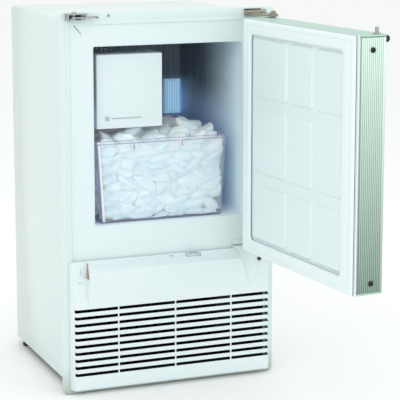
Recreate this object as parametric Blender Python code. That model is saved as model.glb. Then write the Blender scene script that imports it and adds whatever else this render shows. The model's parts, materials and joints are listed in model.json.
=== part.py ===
"""Built-in undercounter ice maker with its door standing open.

Sizes are in millimetres until finish() writes a mesh. X runs across the front with 0 at the
cabinet's middle, Y runs to the back with 0 at the trim flange's front face, Z is up from the floor.
The door is modelled shut, and its hinge empty turns it open.
"""
import math

import bmesh
import bpy
from mathutils import Matrix, Vector

MM = 0.001
GAP = 0.3  # clearance between pieces that touch

# Cabinet and trim flange
FLANGE_HALF = 198.0
FLANGE_TOP = 664.0
FLANGE_BOTTOM = 1.5
FLANGE_SHEET = 3.0
FLANGE_LIP_DEPTH = 11.0
FLANGE_SIDE = 18.0
FLANGE_HEAD = 22.0
SHELL_HALF = 182.8
SHELL_FRONT = 7.0
SHELL_BACK = 351.0
SHELL_BOTTOM = 13.4
SHELL_TOP = 652.6
SHEET = 1.5
FLOOR_DECK = 246.0  # underside of the insulated part, roof of the machine space

# Storage compartment
OPENING_HALF = 137.0
OPENING_BOTTOM = 294.5
OPENING_TOP = 604.5
BREAKER_BOTTOM = 234.5
BREAKER_FRONT = 3.3
BREAKER_BACK = 6.6
LINER_HALF = 139.5
LINER_FLOOR = 295.0
LINER_CEILING = 606.0
LINER_BACK = 302.7
LINER_WALL = 2.3

# Door, as it stands when shut
DOOR_HALF = 183.0
DOOR_BOTTOM = 241.0
DOOR_TOP = 649.7
DOOR_FRONT = -62.0
DOOR_EDGE_BACK = -14.3
GASKET_FACE = -4.0
DOOR_CAP = 3.1
EDGE_WALL = 4.0
HINGE_X = 169.5
HINGE_Y = -56.5
HINGE_PIN_R = 4.0
BUSHING_TOP_START = 631.0
BUSHING_BOTTOM_END = 259.5
DOOR_OPEN = 94.0  # degrees

# Grille
GRILLE_LEFT = -187.5
GRILLE_RIGHT = 187.0
GRILLE_BOTTOM = 9.0
GRILLE_TOP = 235.8
GRILLE_FACE = -17.0
GRILLE_WALL = 2.6
GRILLE_LEFT_RETURN = 8.5
GRILLE_RIGHT_RETURN = 4.5
GRILLE_BEND = 158.0
LEDGE_FRONT = -31.0
LEDGE_DROP = 12.8
LEDGE_LEFT = -158.0
LEDGE_RIGHT_TOP = 124.0
LEDGE_RIGHT_FOOT = 145.0
SLOT_ROWS = 10
SLOT_TOP = 151.5
SLOT_PITCH = 12.6
SLOT_HEIGHT = 5.4
SLOT_RIB = 2.2
SLOT_RIBS_X = (-103.0, 3.0, 109.0)
ROCKER_TILT = 6.0

# Knob on the lip of the door's free edge, near its top corner.
KNOB_X = -175.0
KNOB_Z = 642.0
KNOB_R = 6.0

# Ice maker unit
UNIT_LEFT = -127.0
UNIT_RIGHT = -6.5
UNIT_BOTTOM = 460.4
UNIT_TOP = 589.0
UNIT_FRONT = 20.0
UNIT_PLATE = 77.0
EJECT_X = -66.0
EJECT_Z = 552.0
FINGER_R = 35.0
TROUGH_R = 38.0
CELLS = 7
CELL_PITCH = 25.8
CELL_WALL = 2.6
MOULD_FRONT = 81.3
MOULD_TOP = 545.0
GEAR_MODULE = 1.3
GEAR_TEETH = 36
PINION_TEETH = 12
GEAR_FRONT = 66.0
GEAR_BACK = 72.0
PINION_DIRECTION = math.radians(-50.0)
ARM_X = -16.0
ARM_Z = 480.0
ARM_TIP_X = 28.0
ARM_TIP_Z = 444.8

# Ice bin
BIN_LEFT = -132.5
BIN_RIGHT = 115.5
BIN_FRONT = 12.0
BIN_BACK = 262.0
BIN_TOP = 440.0
BIN_DRAFT = 8.5
BIN_WALL = 2.6
BIN_RIM = 1.5

# Machine space
FAN_X = -85.0
FAN_Z = 125.0
FAN_R = 64.0
LEG_X = 170.0
LEG_FRONT_Y = 40.0
LEG_BACK_Y = 325.0

# Travel latch
LATCH_X = -176.0
LATCH_Y = -12.0
LATCH_REACH = 36.0
STUD_R = 3.2


# ---------------------------------------------------------------- scene and materials

def clear_scene():
    for obj in list(bpy.data.objects):
        bpy.data.objects.remove(obj, do_unlink=True)


def material(name, colour, roughness, metallic=0.0, alpha=1.0):
    mat = bpy.data.materials.new(name)
    mat.use_nodes = True
    shader = mat.node_tree.nodes["Principled BSDF"]
    shader.inputs["Base Color"].default_value = (*colour, 1.0)
    shader.inputs["Roughness"].default_value = roughness
    shader.inputs["Metallic"].default_value = metallic
    shader.inputs["Alpha"].default_value = alpha
    return mat


def make_materials():
    return {
        "white_paint": material("white_paint", (0.80, 0.86, 0.85), 0.35),
        "white_plastic": material("white_plastic", (0.82, 0.87, 0.88), 0.42),
        "liner_plastic": material("liner_plastic", (0.74, 0.81, 0.84), 0.45),
        "gasket_vinyl": material("gasket_vinyl", (0.80, 0.85, 0.86), 0.6),
        "clear_plastic": material("clear_plastic", (0.80, 0.90, 0.94), 0.1, 0.0, 0.35),
        "pale_blue_plastic": material("pale_blue_plastic", (0.55, 0.72, 0.88), 0.4),
        "aluminium": material("aluminium", (0.70, 0.76, 0.72), 0.35, 1.0),
        "cast_aluminium": material("cast_aluminium", (0.46, 0.48, 0.50), 0.55, 1.0),
        "dark_aluminium": material("dark_aluminium", (0.10, 0.12, 0.14), 0.5, 0.8),
        "zinc_steel": material("zinc_steel", (0.56, 0.56, 0.52), 0.38, 1.0),
        "black_plastic": material("black_plastic", (0.02, 0.02, 0.02), 0.4),
        "black_paint": material("black_paint", (0.025, 0.025, 0.03), 0.35),
        "copper": material("copper", (0.72, 0.38, 0.24), 0.3, 1.0),
        "foam": material("foam", (0.86, 0.78, 0.55), 0.9),
        "nylon": material("nylon", (0.78, 0.78, 0.72), 0.5),
    }


# ---------------------------------------------------------------- shape helpers

def finish(bm, name, mat):
    """Writes a bmesh built in millimetres to a named object."""
    bmesh.ops.scale(bm, vec=(MM, MM, MM), verts=bm.verts)
    bmesh.ops.recalc_face_normals(bm, faces=bm.faces)
    mesh = bpy.data.meshes.new(name)
    bm.to_mesh(mesh)
    bm.free()
    if mat:
        mesh.materials.append(mat)
    obj = bpy.data.objects.new(name, mesh)
    bpy.context.scene.collection.objects.link(obj)
    return obj


def add_box(bm, low, high):
    size = Vector(high) - Vector(low)
    middle = (Vector(high) + Vector(low)) / 2
    place = Matrix.Translation(middle) @ Matrix.Diagonal((*size, 1.0))
    bmesh.ops.create_cube(bm, size=1.0, matrix=place)


def boxes(name, mat, *pairs):
    """One object of separate boxes, each given by its low and high corners."""
    bm = bmesh.new()
    for low, high in pairs:
        add_box(bm, low, high)
    return finish(bm, name, mat)


def place_on(axis, u, v, w):
    """A point at u, v across an axis and w along it."""
    return {"X": (w, u, v), "Y": (u, w, v), "Z": (u, v, w)}[axis]


def add_prism(bm, axis, outline, start, end):
    ends = []
    for w in (start, end):
        ends.append([bm.verts.new(place_on(axis, u, v, w)) for u, v in outline])
    bm.faces.new(ends[0])
    bm.faces.new(reversed(ends[1]))
    count = len(outline)
    for i in range(count):
        j = (i + 1) % count
        bm.faces.new((ends[0][i], ends[1][i], ends[1][j], ends[0][j]))


def prism(name, mat, axis, outline, start, end):
    bm = bmesh.new()
    add_prism(bm, axis, outline, start, end)
    return finish(bm, name, mat)


def arc(u, v, radius, first, last, steps):
    """Points on an arc about (u, v), angles in degrees."""
    points = []
    for i in range(steps + 1):
        a = math.radians(first + (last - first) * i / steps)
        points.append((u + radius * math.cos(a), v + radius * math.sin(a)))
    return points


def circle(u, v, radius, count):
    return arc(u, v, radius, 0.0, 360.0 * (count - 1) / count, count - 1)


def round_bar(name, mat, axis, u, v, radius, start, end, count=20):
    return prism(name, mat, axis, circle(u, v, radius, count), start, end)


def round_bars(name, mat, axis, spots, radius, start, end, count=16):
    """One object of separate round bars along an axis, at each (u, v)."""
    bm = bmesh.new()
    for u, v in spots:
        add_prism(bm, axis, circle(u, v, radius, count), start, end)
    return finish(bm, name, mat)


def turned(name, mat, axis, u, v, profile, count=24):
    """A solid of revolution about an axis line at (u, v); profile is (radius, height), pole to pole."""
    bm = bmesh.new()
    rings = []
    for radius, height in profile:
        if radius == 0.0:
            rings.append([bm.verts.new(place_on(axis, u, v, height))])
            continue
        ring = circle(u, v, radius, count)
        rings.append([bm.verts.new(place_on(axis, a, b, height)) for a, b in ring])
    for low, high in zip(rings, rings[1:]):
        for i in range(count):
            j = (i + 1) % count
            if len(low) == 1:
                bm.faces.new((low[0], high[i], high[j]))
            elif len(high) == 1:
                bm.faces.new((low[i], high[0], low[j]))
            else:
                bm.faces.new((low[i], high[i], high[j], low[j]))
    return finish(bm, name, mat)


def loft(name, mat, loops):
    """A closed solid through loops of 3-D points, all of one length."""
    bm = bmesh.new()
    rings = [[bm.verts.new(p) for p in loop] for loop in loops]
    bm.faces.new(rings[0])
    bm.faces.new(reversed(rings[-1]))
    count = len(loops[0])
    for low, high in zip(rings, rings[1:]):
        for i in range(count):
            j = (i + 1) % count
            bm.faces.new((low[i], high[i], high[j], low[j]))
    return finish(bm, name, mat)


def pipe(name, mat, points, radius, count=12):
    """A round tube along straight runs with bent corners."""
    path = soften(points, radius * 3.0)
    across = (path[1] - path[0]).orthogonal().normalized()
    loops = []
    for i, spot in enumerate(path):
        ahead = path[min(i + 1, len(path) - 1)] - path[max(i - 1, 0)]
        ahead.normalize()
        across = (across - ahead * across.dot(ahead)).normalized()
        beside = ahead.cross(across)
        loops.append([spot + across * u + beside * v for u, v in circle(0.0, 0.0, radius, count)])
    return smooth(loft(name, mat, loops), 60.0)


def soften(points, radius):
    """Replaces each inner corner by a short curve."""
    spots = [Vector(p) for p in points]
    result = [spots[0]]
    for before, corner, after in zip(spots, spots[1:], spots[2:]):
        enter = corner + (before - corner).normalized() * radius
        leave = corner + (after - corner).normalized() * radius
        for i in range(5):
            t = i / 4.0
            result.append(enter.lerp(corner, t).lerp(corner.lerp(leave, t), t))
    result.append(spots[-1])
    return result


def bake(obj):
    """Makes the object's modifiers final."""
    graph = bpy.context.evaluated_depsgraph_get()
    baked = bpy.data.meshes.new_from_object(obj.evaluated_get(graph))
    baked.name = obj.name
    obj.modifiers.clear()
    obj.data = baked


def combine(obj, operation, tools):
    for tool in tools:
        step = obj.modifiers.new(operation.lower(), "BOOLEAN")
        step.operation = operation
        step.object = tool
    bake(obj)
    for tool in tools:
        bpy.data.objects.remove(tool, do_unlink=True)
    return obj


def cut(obj, *tools):
    return combine(obj, "DIFFERENCE", tools)


def fuse(obj, *tools):
    return combine(obj, "UNION", tools)


def bevel(obj, width, segments=2, angle=40.0):
    step = obj.modifiers.new("bevel", "BEVEL")
    step.width = width * MM
    step.segments = segments
    step.limit_method = "ANGLE"
    step.angle_limit = math.radians(angle)
    bake(obj)
    return obj


def smooth(obj, angle=35.0):
    obj.data.shade_smooth()
    obj.data.set_sharp_from_angle(angle=math.radians(angle))
    return obj


def set_pivot(obj, point):
    """Moves the object's origin to a point given in millimetres."""
    spot = Vector(point) * MM
    obj.data.transform(Matrix.Translation(-spot))
    obj.location = spot
    return obj


def gear_outline(teeth, module, tooth_share, turn):
    """An involute gear's outline; tooth_share is tooth width over pitch at the pitch circle."""
    pressure = math.radians(20.0)
    pitch_r = teeth * module / 2.0
    base_r = pitch_r * math.cos(pressure)
    tip_r = pitch_r + 0.9 * module
    root_r = pitch_r - 1.2 * module
    half = math.pi * tooth_share / teeth
    flank = []
    for i in range(4):
        r = max(base_r, root_r) + (tip_r - max(base_r, root_r)) * i / 3.0
        a = math.acos(min(1.0, base_r / r))
        flank.append((r, half + math.tan(pressure) - pressure - (math.tan(a) - a)))
    points = []
    for k in range(teeth):
        middle = turn + 2.0 * math.pi * k / teeth
        side = [(root_r, flank[0][1])] + flank
        for r, a in side:
            points.append((r * math.cos(middle - a), r * math.sin(middle - a)))
        for r, a in reversed(side):
            points.append((r * math.cos(middle + a), r * math.sin(middle + a)))
    return points


# ---------------------------------------------------------------- cabinet

def cabinet_shell(m):
    inner = SHELL_HALF - SHEET
    top = SHELL_TOP - SHEET
    radius = 5.0
    outline = [(-SHELL_HALF, SHELL_BOTTOM)]
    outline += arc(-SHELL_HALF + radius, SHELL_TOP - radius, radius, 180.0, 90.0, 4)
    outline += arc(SHELL_HALF - radius, SHELL_TOP - radius, radius, 90.0, 0.0, 4)
    outline += [(SHELL_HALF, SHELL_BOTTOM), (inner, SHELL_BOTTOM)]
    outline += [(inner, top), (-inner, top), (-inner, SHELL_BOTTOM)]
    return prism("cabinet_shell", m["white_paint"], "Y", outline, SHELL_FRONT, SHELL_BACK)


def rear_panel(m):
    half = SHELL_HALF - SHEET - GAP
    back = SHELL_BACK - 1.0
    panel = boxes("rear_panel", m["white_paint"],
                  ((-half, back - SHEET, 31.0), (half, back, SHELL_TOP - SHEET - GAP)))
    slots = []
    for row in range(9):
        z = 70.0 + row * 15.0
        for left in (-90.0, 5.0):
            slots.append(((left, back - 5.0, z), (left + 85.0, back + 5.0, z + 5.0)))
    louvres = boxes("cutter", m["white_paint"], *slots)
    inlets = round_bars("cutter", m["white_paint"], "Y", ((-135.0, 205.0), (135.0, 62.0)), 9.6,
                        back - 5.0, back + 5.0, 20)
    return cut(panel, louvres, inlets)


def base_pan(m):
    half = SHELL_HALF - SHEET - GAP
    front = SHELL_FRONT + GAP
    back = SHELL_BACK - 1.0 - SHEET - GAP
    pan = boxes("base_pan", m["zinc_steel"], ((-half, front, SHELL_BOTTOM), (half, back, 30.5)))
    room = boxes("cutter", m["zinc_steel"],
                 ((-half + SHEET, front + SHEET, SHELL_BOTTOM + SHEET),
                  (half - SHEET, back - SHEET, 40.0)))
    holes = round_bars("cutter", m["zinc_steel"], "Z", leg_spots(), 4.4, 5.0, 25.0)
    return cut(pan, room, holes)


def leg_spots():
    return [(x, y) for y in (LEG_FRONT_Y, LEG_BACK_Y) for x in (-LEG_X, LEG_X)]


def levelling_legs(m):
    legs = []
    profile = [(0.0, 0.0), (8.6, 0.0), (9.4, 1.2), (9.4, 6.0), (7.4, 8.4), (4.0, 8.4),
               (4.0, 29.0), (0.0, 29.0)]
    names = ("leg_front_left", "leg_front_right", "leg_rear_left", "leg_rear_right")
    for name, (x, y) in zip(names, leg_spots()):
        leg = smooth(turned(name, m["black_plastic"], "Z", x, y, profile, 20))
        legs.append(set_pivot(leg, (x, y, 0.0)))
    return legs


def foam_insulation(m):
    half = SHELL_HALF - SHEET - GAP
    front = BREAKER_BACK + 2.8
    wall = LINER_WALL + GAP
    foam = boxes("foam_insulation", m["foam"],
                 ((-half, front, FLOOR_DECK), (half, SHELL_BACK - 3.0, SHELL_TOP - SHEET - GAP)))
    pocket = boxes("cutter", m["foam"],
                   ((-LINER_HALF - wall, front - 5.0, LINER_FLOOR - wall),
                    (LINER_HALF + wall, LINER_BACK + wall, LINER_CEILING + wall)))
    riser = boxes("cutter", m["foam"],
                  ((EJECT_X - 5.0, 319.0, FLOOR_DECK - 5.0), (EJECT_X + 5.0, 330.0, 582.0)))
    entry = boxes("cutter", m["foam"],
                  ((EJECT_X - 5.0, LINER_BACK, 566.0), (EJECT_X + 5.0, 325.0, 581.0)))
    return cut(foam, pocket, riser, entry)


def liner(m):
    w = LINER_WALL
    tub = boxes("liner", m["liner_plastic"],
                ((-LINER_HALF - w, 8.0, LINER_FLOOR - w),
                 (LINER_HALF + w, LINER_BACK + w, LINER_CEILING + w)))
    lip = boxes("tool", m["liner_plastic"],
                ((-LINER_HALF - 14.0, BREAKER_BACK + GAP, LINER_FLOOR - 14.0),
                 (LINER_HALF + 14.0, BREAKER_BACK + GAP + 2.0, LINER_CEILING + 14.0)))
    fuse(tub, lip)
    room = boxes("cutter", m["liner_plastic"],
                 ((-LINER_HALF, 0.0, LINER_FLOOR), (LINER_HALF, LINER_BACK, LINER_CEILING)))
    port = round_bar("cutter", m["liner_plastic"], "Y", EJECT_X, 575.0, 4.6,
                     LINER_BACK - 5.0, LINER_BACK + 10.0, 16)
    return cut(tub, room, port)


def breaker_frame(m):
    frame = boxes("breaker_frame", m["white_plastic"],
                  ((-SHELL_HALF, BREAKER_FRONT, BREAKER_BOTTOM),
                   (SHELL_HALF, BREAKER_BACK, FLANGE_TOP - FLANGE_HEAD + 4.0)))
    opening = boxes("cutter", m["white_plastic"],
                    ((-OPENING_HALF, -5.0, OPENING_BOTTOM), (OPENING_HALF, 15.0, OPENING_TOP)))
    return bevel(cut(frame, opening), 0.8)


def front_flange(m):
    ring = boxes("front_flange", m["white_paint"],
                 ((-FLANGE_HALF, 0.0, FLANGE_BOTTOM), (FLANGE_HALF, FLANGE_LIP_DEPTH, FLANGE_TOP)))
    lip = 2.4
    hollow = boxes("cutter", m["white_paint"],
                   ((-FLANGE_HALF + lip, FLANGE_SHEET, FLANGE_BOTTOM + lip),
                    (FLANGE_HALF - lip, 30.0, FLANGE_TOP - lip)))
    window = boxes("cutter", m["white_paint"],
                   ((-FLANGE_HALF + FLANGE_SIDE, -5.0, FLANGE_BOTTOM + 10.0),
                    (FLANGE_HALF - FLANGE_SIDE, 30.0, FLANGE_TOP - FLANGE_HEAD)))
    cut(ring, hollow, window)
    return smooth(bevel(ring, 1.0, 3))


# ---------------------------------------------------------------- inside the compartment

def evaporator_plate(m):
    plate = boxes("evaporator_plate", m["dark_aluminium"],
                  ((-112.0, 299.4, 330.0), (92.0, LINER_BACK - GAP, 560.0)))
    runs = []
    for row in range(7):
        z = 345.0 + row * 32.0
        runs.append(((-102.0, 295.6, z), (82.0, 300.0, z + 8.0)))
        if row < 6:
            x = 74.0 if row % 2 == 0 else -102.0
            runs.append(((x, 295.6, z + 7.0), (x + 8.0, 300.0, z + 33.0)))
    channel = None
    for low, high in runs:
        piece = boxes("tool", m["dark_aluminium"], (low, high))
        channel = piece if channel is None else fuse(channel, piece)
    return fuse(plate, channel)


def thermostat_guard(m):
    guard = boxes("thermostat_guard", m["pale_blue_plastic"],
                  ((103.0, 292.0, 441.0), (134.0, LINER_BACK - GAP, 507.0)))
    ribs = []
    for i in range(6):
        x = 104.6 + i * 5.0
        ribs.append(((x, 289.6, 444.0), (x + 2.6, 293.0, 504.0)))
    return fuse(guard, boxes("tool", m["pale_blue_plastic"], *ribs))


def icemaker_cover(m):
    cover = boxes("icemaker_cover", m["white_plastic"],
                  ((UNIT_LEFT, UNIT_FRONT, UNIT_BOTTOM), (UNIT_RIGHT, UNIT_PLATE - GAP, UNIT_TOP)))
    bevel(cover, 3.0, 3)
    room = boxes("cutter", m["white_plastic"],
                 ((UNIT_LEFT + 2.2, UNIT_FRONT + 2.2, UNIT_BOTTOM + 2.2),
                  (UNIT_RIGHT - 2.2, UNIT_PLATE + 5.0, UNIT_TOP - 2.2)))
    return smooth(cut(cover, room))


def icemaker_housing(m):
    plate = boxes("icemaker_housing", m["white_plastic"],
                  ((UNIT_LEFT, UNIT_PLATE, UNIT_BOTTOM), (UNIT_RIGHT, UNIT_PLATE + 4.0, UNIT_TOP)))
    shaft = round_bar("cutter", m["white_plastic"], "Y", EJECT_X, EJECT_Z, 4.4, 60.0, 95.0, 20)
    pivot = round_bar("cutter", m["white_plastic"], "Y", ARM_X, ARM_Z, 2.6, 60.0, 95.0, 16)
    return cut(plate, shaft, pivot)


def pinion_spot():
    reach = (GEAR_TEETH + PINION_TEETH) * GEAR_MODULE / 2.0 + 0.1
    x = EJECT_X + reach * math.cos(PINION_DIRECTION)
    z = EJECT_Z + reach * math.sin(PINION_DIRECTION)
    return x, z


def drive_motor(m):
    x, z = pinion_spot()
    body = round_bar("drive_motor", m["zinc_steel"], "Y", x, z, 19.0, 28.0, 60.0, 24)
    shaft = round_bar("tool", m["zinc_steel"], "Y", x, z, 2.5, 59.0, 74.0, 16)
    posts = []
    for side in (-50.0, 50.0):
        a = PINION_DIRECTION + math.radians(side)
        posts.append((x + 15.0 * math.cos(a), z + 15.0 * math.sin(a)))
    studs = round_bars("tool", m["zinc_steel"], "Y", posts, 2.2, 59.0, UNIT_PLATE - GAP, 12)
    return smooth(fuse(body, shaft, studs))


def motor_pinion(m):
    x, z = pinion_spot()
    turn = PINION_DIRECTION + math.pi + math.pi / PINION_TEETH
    outline = gear_outline(PINION_TEETH, GEAR_MODULE, 0.42, turn)
    placed = [(x + u, z + v) for u, v in outline]
    gear = prism("motor_pinion", m["nylon"], "Y", placed, GEAR_FRONT, GEAR_BACK)
    bore = round_bar("cutter", m["nylon"], "Y", x, z, 2.8, 50.0, 90.0, 16)
    return set_pivot(cut(gear, bore), (x, GEAR_FRONT, z))


def ejector_gear(m):
    outline = gear_outline(GEAR_TEETH, GEAR_MODULE, 0.42, PINION_DIRECTION)
    placed = [(EJECT_X + u, EJECT_Z + v) for u, v in outline]
    gear = prism("ejector_gear", m["nylon"], "Y", placed, GEAR_FRONT, GEAR_BACK)
    bore = round_bar("cutter", m["nylon"], "Y", EJECT_X, EJECT_Z, 4.3, 50.0, 90.0, 20)
    return set_pivot(cut(gear, bore), (EJECT_X, GEAR_FRONT, EJECT_Z))


def cell_middle(i):
    return MOULD_FRONT + CELL_WALL + CELL_PITCH * i + (CELL_PITCH - CELL_WALL) / 2.0


def mould_back():
    return MOULD_FRONT + CELL_WALL + CELL_PITCH * CELLS


def ice_mould(m):
    back = mould_back()
    block = boxes("ice_mould", m["cast_aluminium"],
                  ((-108.0, MOULD_FRONT, 506.0), (-24.0, back, MOULD_TOP)))
    bevel(block, 6.0, 3)
    hanger = boxes("tool", m["cast_aluminium"],
                   ((-LINER_HALF + GAP, 100.0, 530.0), (-104.0, 245.0, 533.0)))
    ear = boxes("tool", m["cast_aluminium"],
                ((-LINER_HALF + GAP, 100.0, 531.0), (-LINER_HALF + GAP + 3.0, 245.0, 566.0)))
    bearing = boxes("tool", m["cast_aluminium"],
                    ((EJECT_X - 8.0, back - 2.4, MOULD_TOP - 6.0), (EJECT_X + 8.0, back, 561.0)))
    tail = boxes("tool", m["cast_aluminium"],
                 ((-30.0, back - 3.0, 474.0), (-9.0, back, 530.0)))
    fuse(block, hanger, ear, bearing, tail)
    cells = bmesh.new()
    half = (CELL_PITCH - CELL_WALL) / 2.0
    for i in range(CELLS):
        middle = cell_middle(i)
        add_prism(cells, "Y", circle(EJECT_X, EJECT_Z, TROUGH_R, 32), middle - half, middle + half)
    hollow = finish(cells, "cutter", m["cast_aluminium"])
    shaft = round_bar("cutter", m["cast_aluminium"], "Y", EJECT_X, EJECT_Z, 4.4,
                      back - 6.0, back + 6.0, 20)
    pivot = round_bar("cutter", m["cast_aluminium"], "Y", ARM_X, ARM_Z, 2.6,
                      back - 8.0, back + 6.0, 16)
    return cut(block, hollow, shaft, pivot)


def ejector_shaft(m):
    shaft = round_bar("ejector_shaft", m["white_plastic"], "Y", EJECT_X, EJECT_Z, 4.0,
                      64.0, mould_back() + 4.0, 20)
    fingers = []
    for i in range(CELLS):
        y = cell_middle(i)
        fingers.append(((EJECT_X - 3.0, y - 1.6, EJECT_Z), (EJECT_X + 3.0, y + 1.6, EJECT_Z + FINGER_R)))
    fuse(shaft, boxes("tool", m["white_plastic"], *fingers))
    return set_pivot(shaft, (EJECT_X, 64.0, EJECT_Z))


def ice_stripper(m):
    rail = boxes("ice_stripper", m["white_plastic"],
                 ((-29.0, MOULD_FRONT + GAP, MOULD_TOP + GAP), (-12.0, mould_back(), 548.6)))
    teeth = []
    for i in range(CELLS + 1):
        y = MOULD_FRONT + CELL_WALL / 2.0 + CELL_PITCH * i
        low = max(y - 3.0, MOULD_FRONT + GAP)
        high = min(y + 3.0, mould_back())
        teeth.append(((-46.0, low, MOULD_TOP + GAP), (-28.0, high, 547.6)))
    return fuse(rail, boxes("tool", m["white_plastic"], *teeth))


def shutoff_arm(m):
    back = mould_back() - 6.0
    points = [(ARM_X, 78.0, ARM_Z), (ARM_X, 90.0, ARM_Z), (ARM_TIP_X, 92.0, ARM_TIP_Z),
              (ARM_TIP_X, back - 6.0, ARM_TIP_Z), (ARM_X, back - 4.0, ARM_Z),
              (ARM_X, back + 6.0, ARM_Z)]
    arm = pipe("shutoff_arm", m["white_plastic"], points, 2.2)
    return set_pivot(arm, (ARM_X, 78.0, ARM_Z))


def fill_cup(m):
    back = mould_back() + 5.0
    cup = boxes("fill_cup", m["white_plastic"],
                ((EJECT_X - 16.0, back, 548.0), (EJECT_X + 16.0, 294.5, 566.0)))
    room = boxes("cutter", m["white_plastic"],
                 ((EJECT_X - 14.0, back + 2.0, 550.0), (EJECT_X + 14.0, 292.5, 580.0)))
    cut(cup, room)
    hook = boxes("tool", m["white_plastic"],
                 ((EJECT_X + 12.0, 280.0, 564.0), (EJECT_X + 16.0, 294.5, LINER_CEILING - GAP)))
    return fuse(cup, hook)


def fill_tube(m):
    points = [(EJECT_X, 324.5, 232.0), (EJECT_X, 324.5, 575.0), (EJECT_X, 286.0, 575.0)]
    return pipe("fill_tube", m["white_plastic"], points, 4.0)


def ice_bin(m):
    d = BIN_DRAFT
    floor = LINER_FLOOR + GAP
    wall = BIN_WALL

    def ring(inset, low_inset, z, front_lean):
        left = BIN_LEFT + inset + low_inset
        right = BIN_RIGHT - inset - low_inset
        front = BIN_FRONT + inset + front_lean
        back = BIN_BACK - inset - low_inset
        r = 7.0
        loop = arc(left + r, front + r, r, 180.0, 270.0, 4)
        loop += arc(right - r, front + r, r, 270.0, 360.0, 4)
        loop += arc(right - r, back - r, r, 0.0, 90.0, 4)
        loop += arc(left + r, back - r, r, 90.0, 180.0, 4)
        return [(x, y, z) for x, y in loop]

    body = loft("ice_bin", m["clear_plastic"],
                [ring(BIN_RIM, d + 5.0, floor, 2.5), ring(BIN_RIM, d, floor + 6.0, 0.8),
                 ring(BIN_RIM, 0.0, BIN_TOP - 4.0, 0.0), ring(0.0, 0.0, BIN_TOP - 4.0, 0.0),
                 ring(0.0, 0.0, BIN_TOP, 0.0)])
    hollow = loft("cutter", m["clear_plastic"],
                  [ring(BIN_RIM + wall, d + 5.0, floor + wall, 2.5),
                   ring(BIN_RIM + wall, d, floor + 6.0 + wall, 0.8),
                   ring(BIN_RIM + wall, 0.0, BIN_TOP + 5.0, 0.0)])
    return set_pivot(smooth(cut(body, hollow)), (0.0, BIN_FRONT, floor))


# ---------------------------------------------------------------- machine space

def compressor(m):
    x, y = 82.0, 238.0
    profile = [(0.0, 36.0), (56.0, 36.0), (66.0, 46.0), (66.0, 96.0), (69.0, 98.0), (69.0, 103.0),
               (66.0, 105.0), (66.0, 150.0), (56.0, 172.0), (32.0, 184.0), (0.0, 187.0)]
    body = turned("compressor", m["black_paint"], "Z", x, y, profile, 28)
    plate = boxes("tool", m["black_paint"],
                  ((x - 72.0, y - 68.0, 33.0), (x + 72.0, y + 68.0, 37.0)))
    posts = [(x + i * 62.0, y + j * 58.0) for i in (-1, 1) for j in (-1, 1)]
    mounts = round_bars("tool", m["black_paint"], "Z", posts, 8.0,
                        SHELL_BOTTOM + SHEET + GAP, 34.0)
    port = round_bar("tool", m["black_paint"], "X", y, 130.0, 5.0, x - 74.0, x - 60.0, 16)
    return smooth(fuse(body, plate, mounts, port))


def condenser(m):
    low, high = (-166.0, 42.0, 38.0), (-6.0, 78.0, 210.0)
    coil = boxes("condenser", m["aluminium"],
                 ((low[0], low[1], SHELL_BOTTOM + SHEET + GAP), (low[0] + 1.6, high[1], high[2])))
    plates = [((high[0] - 1.6, low[1], SHELL_BOTTOM + SHEET + GAP), high)]
    count = 12
    for i in range(count):
        x = low[0] + 12.0 + i * 12.2
        plates.append(((x, low[1] + 3.0, low[2]), (x + 1.2, high[1] - 3.0, high[2] - 3.0)))
    fins = boxes("tool", m["aluminium"], *plates)
    rows = [((low[1] + high[1]) / 2.0 + (8.0 if i % 2 else -8.0), low[2] + 14.0 + i * 24.0)
            for i in range(7)]
    tubes = round_bars("tool", m["aluminium"], "X", rows, 4.0, low[0] - 5.0, high[0] + 5.0, 12)
    return fuse(coil, tubes, fins)


def fan_shroud(m):
    y = 96.0
    plate = boxes("fan_shroud", m["zinc_steel"],
                  ((FAN_X - 80.0, y, SHELL_BOTTOM + SHEET + GAP), (FAN_X + 79.0, y + 2.0, 212.0)))
    collar = round_bar("tool", m["zinc_steel"], "Y", FAN_X, FAN_Z, FAN_R + 5.5, y, y + 16.0, 40)
    fuse(plate, collar)
    hole = round_bar("cutter", m["zinc_steel"], "Y", FAN_X, FAN_Z, FAN_R + 3.5, y - 9.0, y + 25.0, 40)
    return cut(plate, hole)


def fan_motor(m):
    body = round_bar("fan_motor", m["black_paint"], "Y", FAN_X, FAN_Z, 30.0, 142.0, 186.0, 24)
    shaft = round_bar("tool", m["black_paint"], "Y", FAN_X, FAN_Z, 3.0, 100.0, 145.0, 16)
    stand = boxes("tool", m["black_paint"],
                  ((FAN_X - 14.0, 160.0, SHELL_BOTTOM + SHEET + GAP), (FAN_X + 14.0, 163.0, FAN_Z)))
    foot = boxes("tool", m["black_paint"],
                 ((FAN_X - 22.0, 140.0, SHELL_BOTTOM + SHEET + GAP),
                  (FAN_X + 22.0, 190.0, SHELL_BOTTOM + SHEET + 3.0)))
    return smooth(fuse(body, shaft, stand, foot))


def fan_blade(m):
    hub = round_bar("fan_blade", m["black_plastic"], "Y", FAN_X, FAN_Z, 13.0, 104.0, 122.0, 24)
    blades = []
    for i in range(5):
        bm = bmesh.new()
        add_box(bm, (-17.0, -1.2, 10.0), (17.0, 1.2, FAN_R))
        turn = Matrix.Rotation(math.radians(72.0 * i), 4, "Y") @ Matrix.Rotation(math.radians(26.0), 4, "Z")
        bmesh.ops.transform(bm, matrix=Matrix.Translation((FAN_X, 113.0, FAN_Z)) @ turn, verts=bm.verts)
        blades.append(finish(bm, "tool", m["black_plastic"]))
    fuse(hub, *blades)
    bore = round_bar("cutter", m["black_plastic"], "Y", FAN_X, FAN_Z, 3.4, 90.0, 135.0, 16)
    return set_pivot(cut(hub, bore), (FAN_X, 104.0, FAN_Z))


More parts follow.
